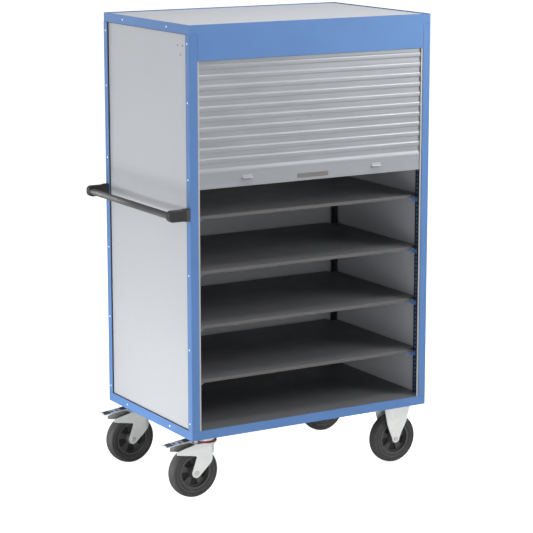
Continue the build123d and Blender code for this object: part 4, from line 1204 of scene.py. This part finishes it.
class CUPBOARD_OT_castor_forks(bpy.types.Operator):
    """Pressed forks, plates, seals and axle bolts"""

    bl_idname = "cupboard.castor_forks"
    bl_label = "Castor forks"

    def execute(self, context):
        for corner in WHEEL_CORNERS:
            node = f"castor_fork_{corner}"
            eased(node, f"pressed_{node}", "zinc", width=0.9 * MM, degrees=35)
        for corner in SWIVEL_CORNERS:
            node = f"castor_plate_{corner}"
            eased(node, f"pressed_{node}", "zinc", width=0.6 * MM)
            node, name = f"castor_axle_{corner}", f"hexagon_axle_bolt_{corner}"
            eased(node, name, "bolt", width=0.6 * MM)
            node = f"brake_pedal_{corner}"
            eased(node, f"pressed_{node}", "pedal", width=0.4 * MM, segments=1)
            self.pedal_pads_and_slot_shades(corner)
        node, name = "fixed_castor_axles", "hexagon_axle_bolts_right"
        eased(node, name, "bolt", width=0.6 * MM)
        node, name = "castor_seals", "moulded_castor_seals"
        eased(node, name, "seal", width=1.5 * MM, segments=3)
        return {"FINISHED"}

    def pedal_pads_and_slot_shades(self, corner):
        """Dark grip pads on the pedal's plate, and a dark strip under its windows that is painted
        shade seen through them.
        """
        node = f"brake_pedal_{corner}"
        low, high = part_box(node)
        centre_y = (low[1] + high[1]) / 2
        tip = Vector((high[0] - PEDAL_START_INSET - PEDAL_LENGTH, 0, high[2] - PEDAL_DROP))
        along = Vector((PEDAL_LENGTH, 0, PEDAL_DROP)).normalized()
        up = Vector((-along.z, 0, along.x))
        treads = bmesh.new()
        for start, end, bottom, top, half_width in PEDAL_PADS_AND_SLOT_SHADES:
            outline = []
            for reach, rise in ((start, bottom), (end, bottom), (end, top), (start, top)):
                point = tip + along * reach * MM + up * rise * MM
                outline.append((point.x, centre_y - half_width * MM, point.z))
            extruded(treads, outline, (0, 2 * half_width * MM, 0))
        round_edges(treads, sharp_edges(treads), TREAD_EDGE_RADIUS, 1)
        body = frame["nodes"][node]["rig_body"]
        finished(treads, f"pedal_pads_and_slot_shades_{corner}", "tread", body)


class CUPBOARD_OT_castor_wheels(bpy.types.Operator):
    """Rubber tyres with moulded rings, rims with windows, and near-black discs behind the windows
    as painted shade
    """

    bl_idname = "cupboard.castor_wheels"
    bl_label = "Castor wheels"

    def execute(self, context):
        for corner in WHEEL_CORNERS:
            body = f"wheel_{corner}"
            low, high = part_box(f"tyre_{corner}")
            centre = middle_of(f"tyre_{corner}")
            radius = (high[2] - low[2]) / 2
            side = [(reach * MM, y * MM) for reach, y in TYRE_SIDE]
            if (high[1] - low[1]) / 2 < max(y for reach, y in side):
                raise RuntimeError("the tyre is narrower than its profile")
            profile = side + [(radius, 0)] + [(reach, -y) for reach, y in reversed(side)]
            ring = bmesh.new()
            turned(ring, profile, centre, TYRE_STEPS)
            piece = finished(ring, f"moulded_tyre_{corner}", "tyre", body)
            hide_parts(f"tyre_{corner}")
            node, name = f"wheel_rim_{corner}", f"moulded_rim_{corner}"
            eased(node, name, "rim", width=0.8 * MM)
            # A near-black disc behind the windows, painted shade in the deep recesses
            back = bmesh.new()
            disc = [(reach * MM, y * MM) for reach, y in WINDOW_SHADE_DISC]
            turned(back, disc, centre, WINDOW_SHADE_DISC_STEPS)
            finished(back, f"rim_window_shade_discs_{corner}", "hollow", body)
        return {"FINISHED"}


OPERATORS = (
    CUPBOARD_OT_stage,
    CUPBOARD_OT_frame,
    CUPBOARD_OT_panels,
    CUPBOARD_OT_boards,
    CUPBOARD_OT_shutter_slats,
    CUPBOARD_OT_bottom_bar,
    CUPBOARD_OT_barrel,
    CUPBOARD_OT_fasteners,
    CUPBOARD_OT_push_handle,
    CUPBOARD_OT_castor_forks,
    CUPBOARD_OT_castor_wheels,
)


class CUPBOARD_PT_panel(bpy.types.Panel):
    """Settings and pieces of the cupboard trolley"""

    bl_label = "Cupboard trolley"
    bl_idname = "CUPBOARD_PT_panel"
    bl_space_type = "VIEW_3D"
    bl_region_type = "UI"
    bl_category = "Cupboard"

    def draw(self, context):
        for name in CupboardSettings.__annotations__:
            self.layout.prop(context.scene.cupboard, name)
        for operator in OPERATORS:
            self.layout.operator(operator.bl_idname)


CLASSES = (CupboardSettings, *OPERATORS, CUPBOARD_PT_panel)


def register():
    for entry in CLASSES:
        bpy.utils.register_class(entry)
    bpy.types.Scene.cupboard = PointerProperty(type=CupboardSettings)


def unregister():
    del bpy.types.Scene.cupboard
    for entry in reversed(CLASSES):
        bpy.utils.unregister_class(entry)


def main():
    register()
    for operator in OPERATORS:
        group, name = operator.bl_idname.split(".")
        getattr(getattr(bpy.ops, group), name)()


if __name__ == "__main__":
    main()
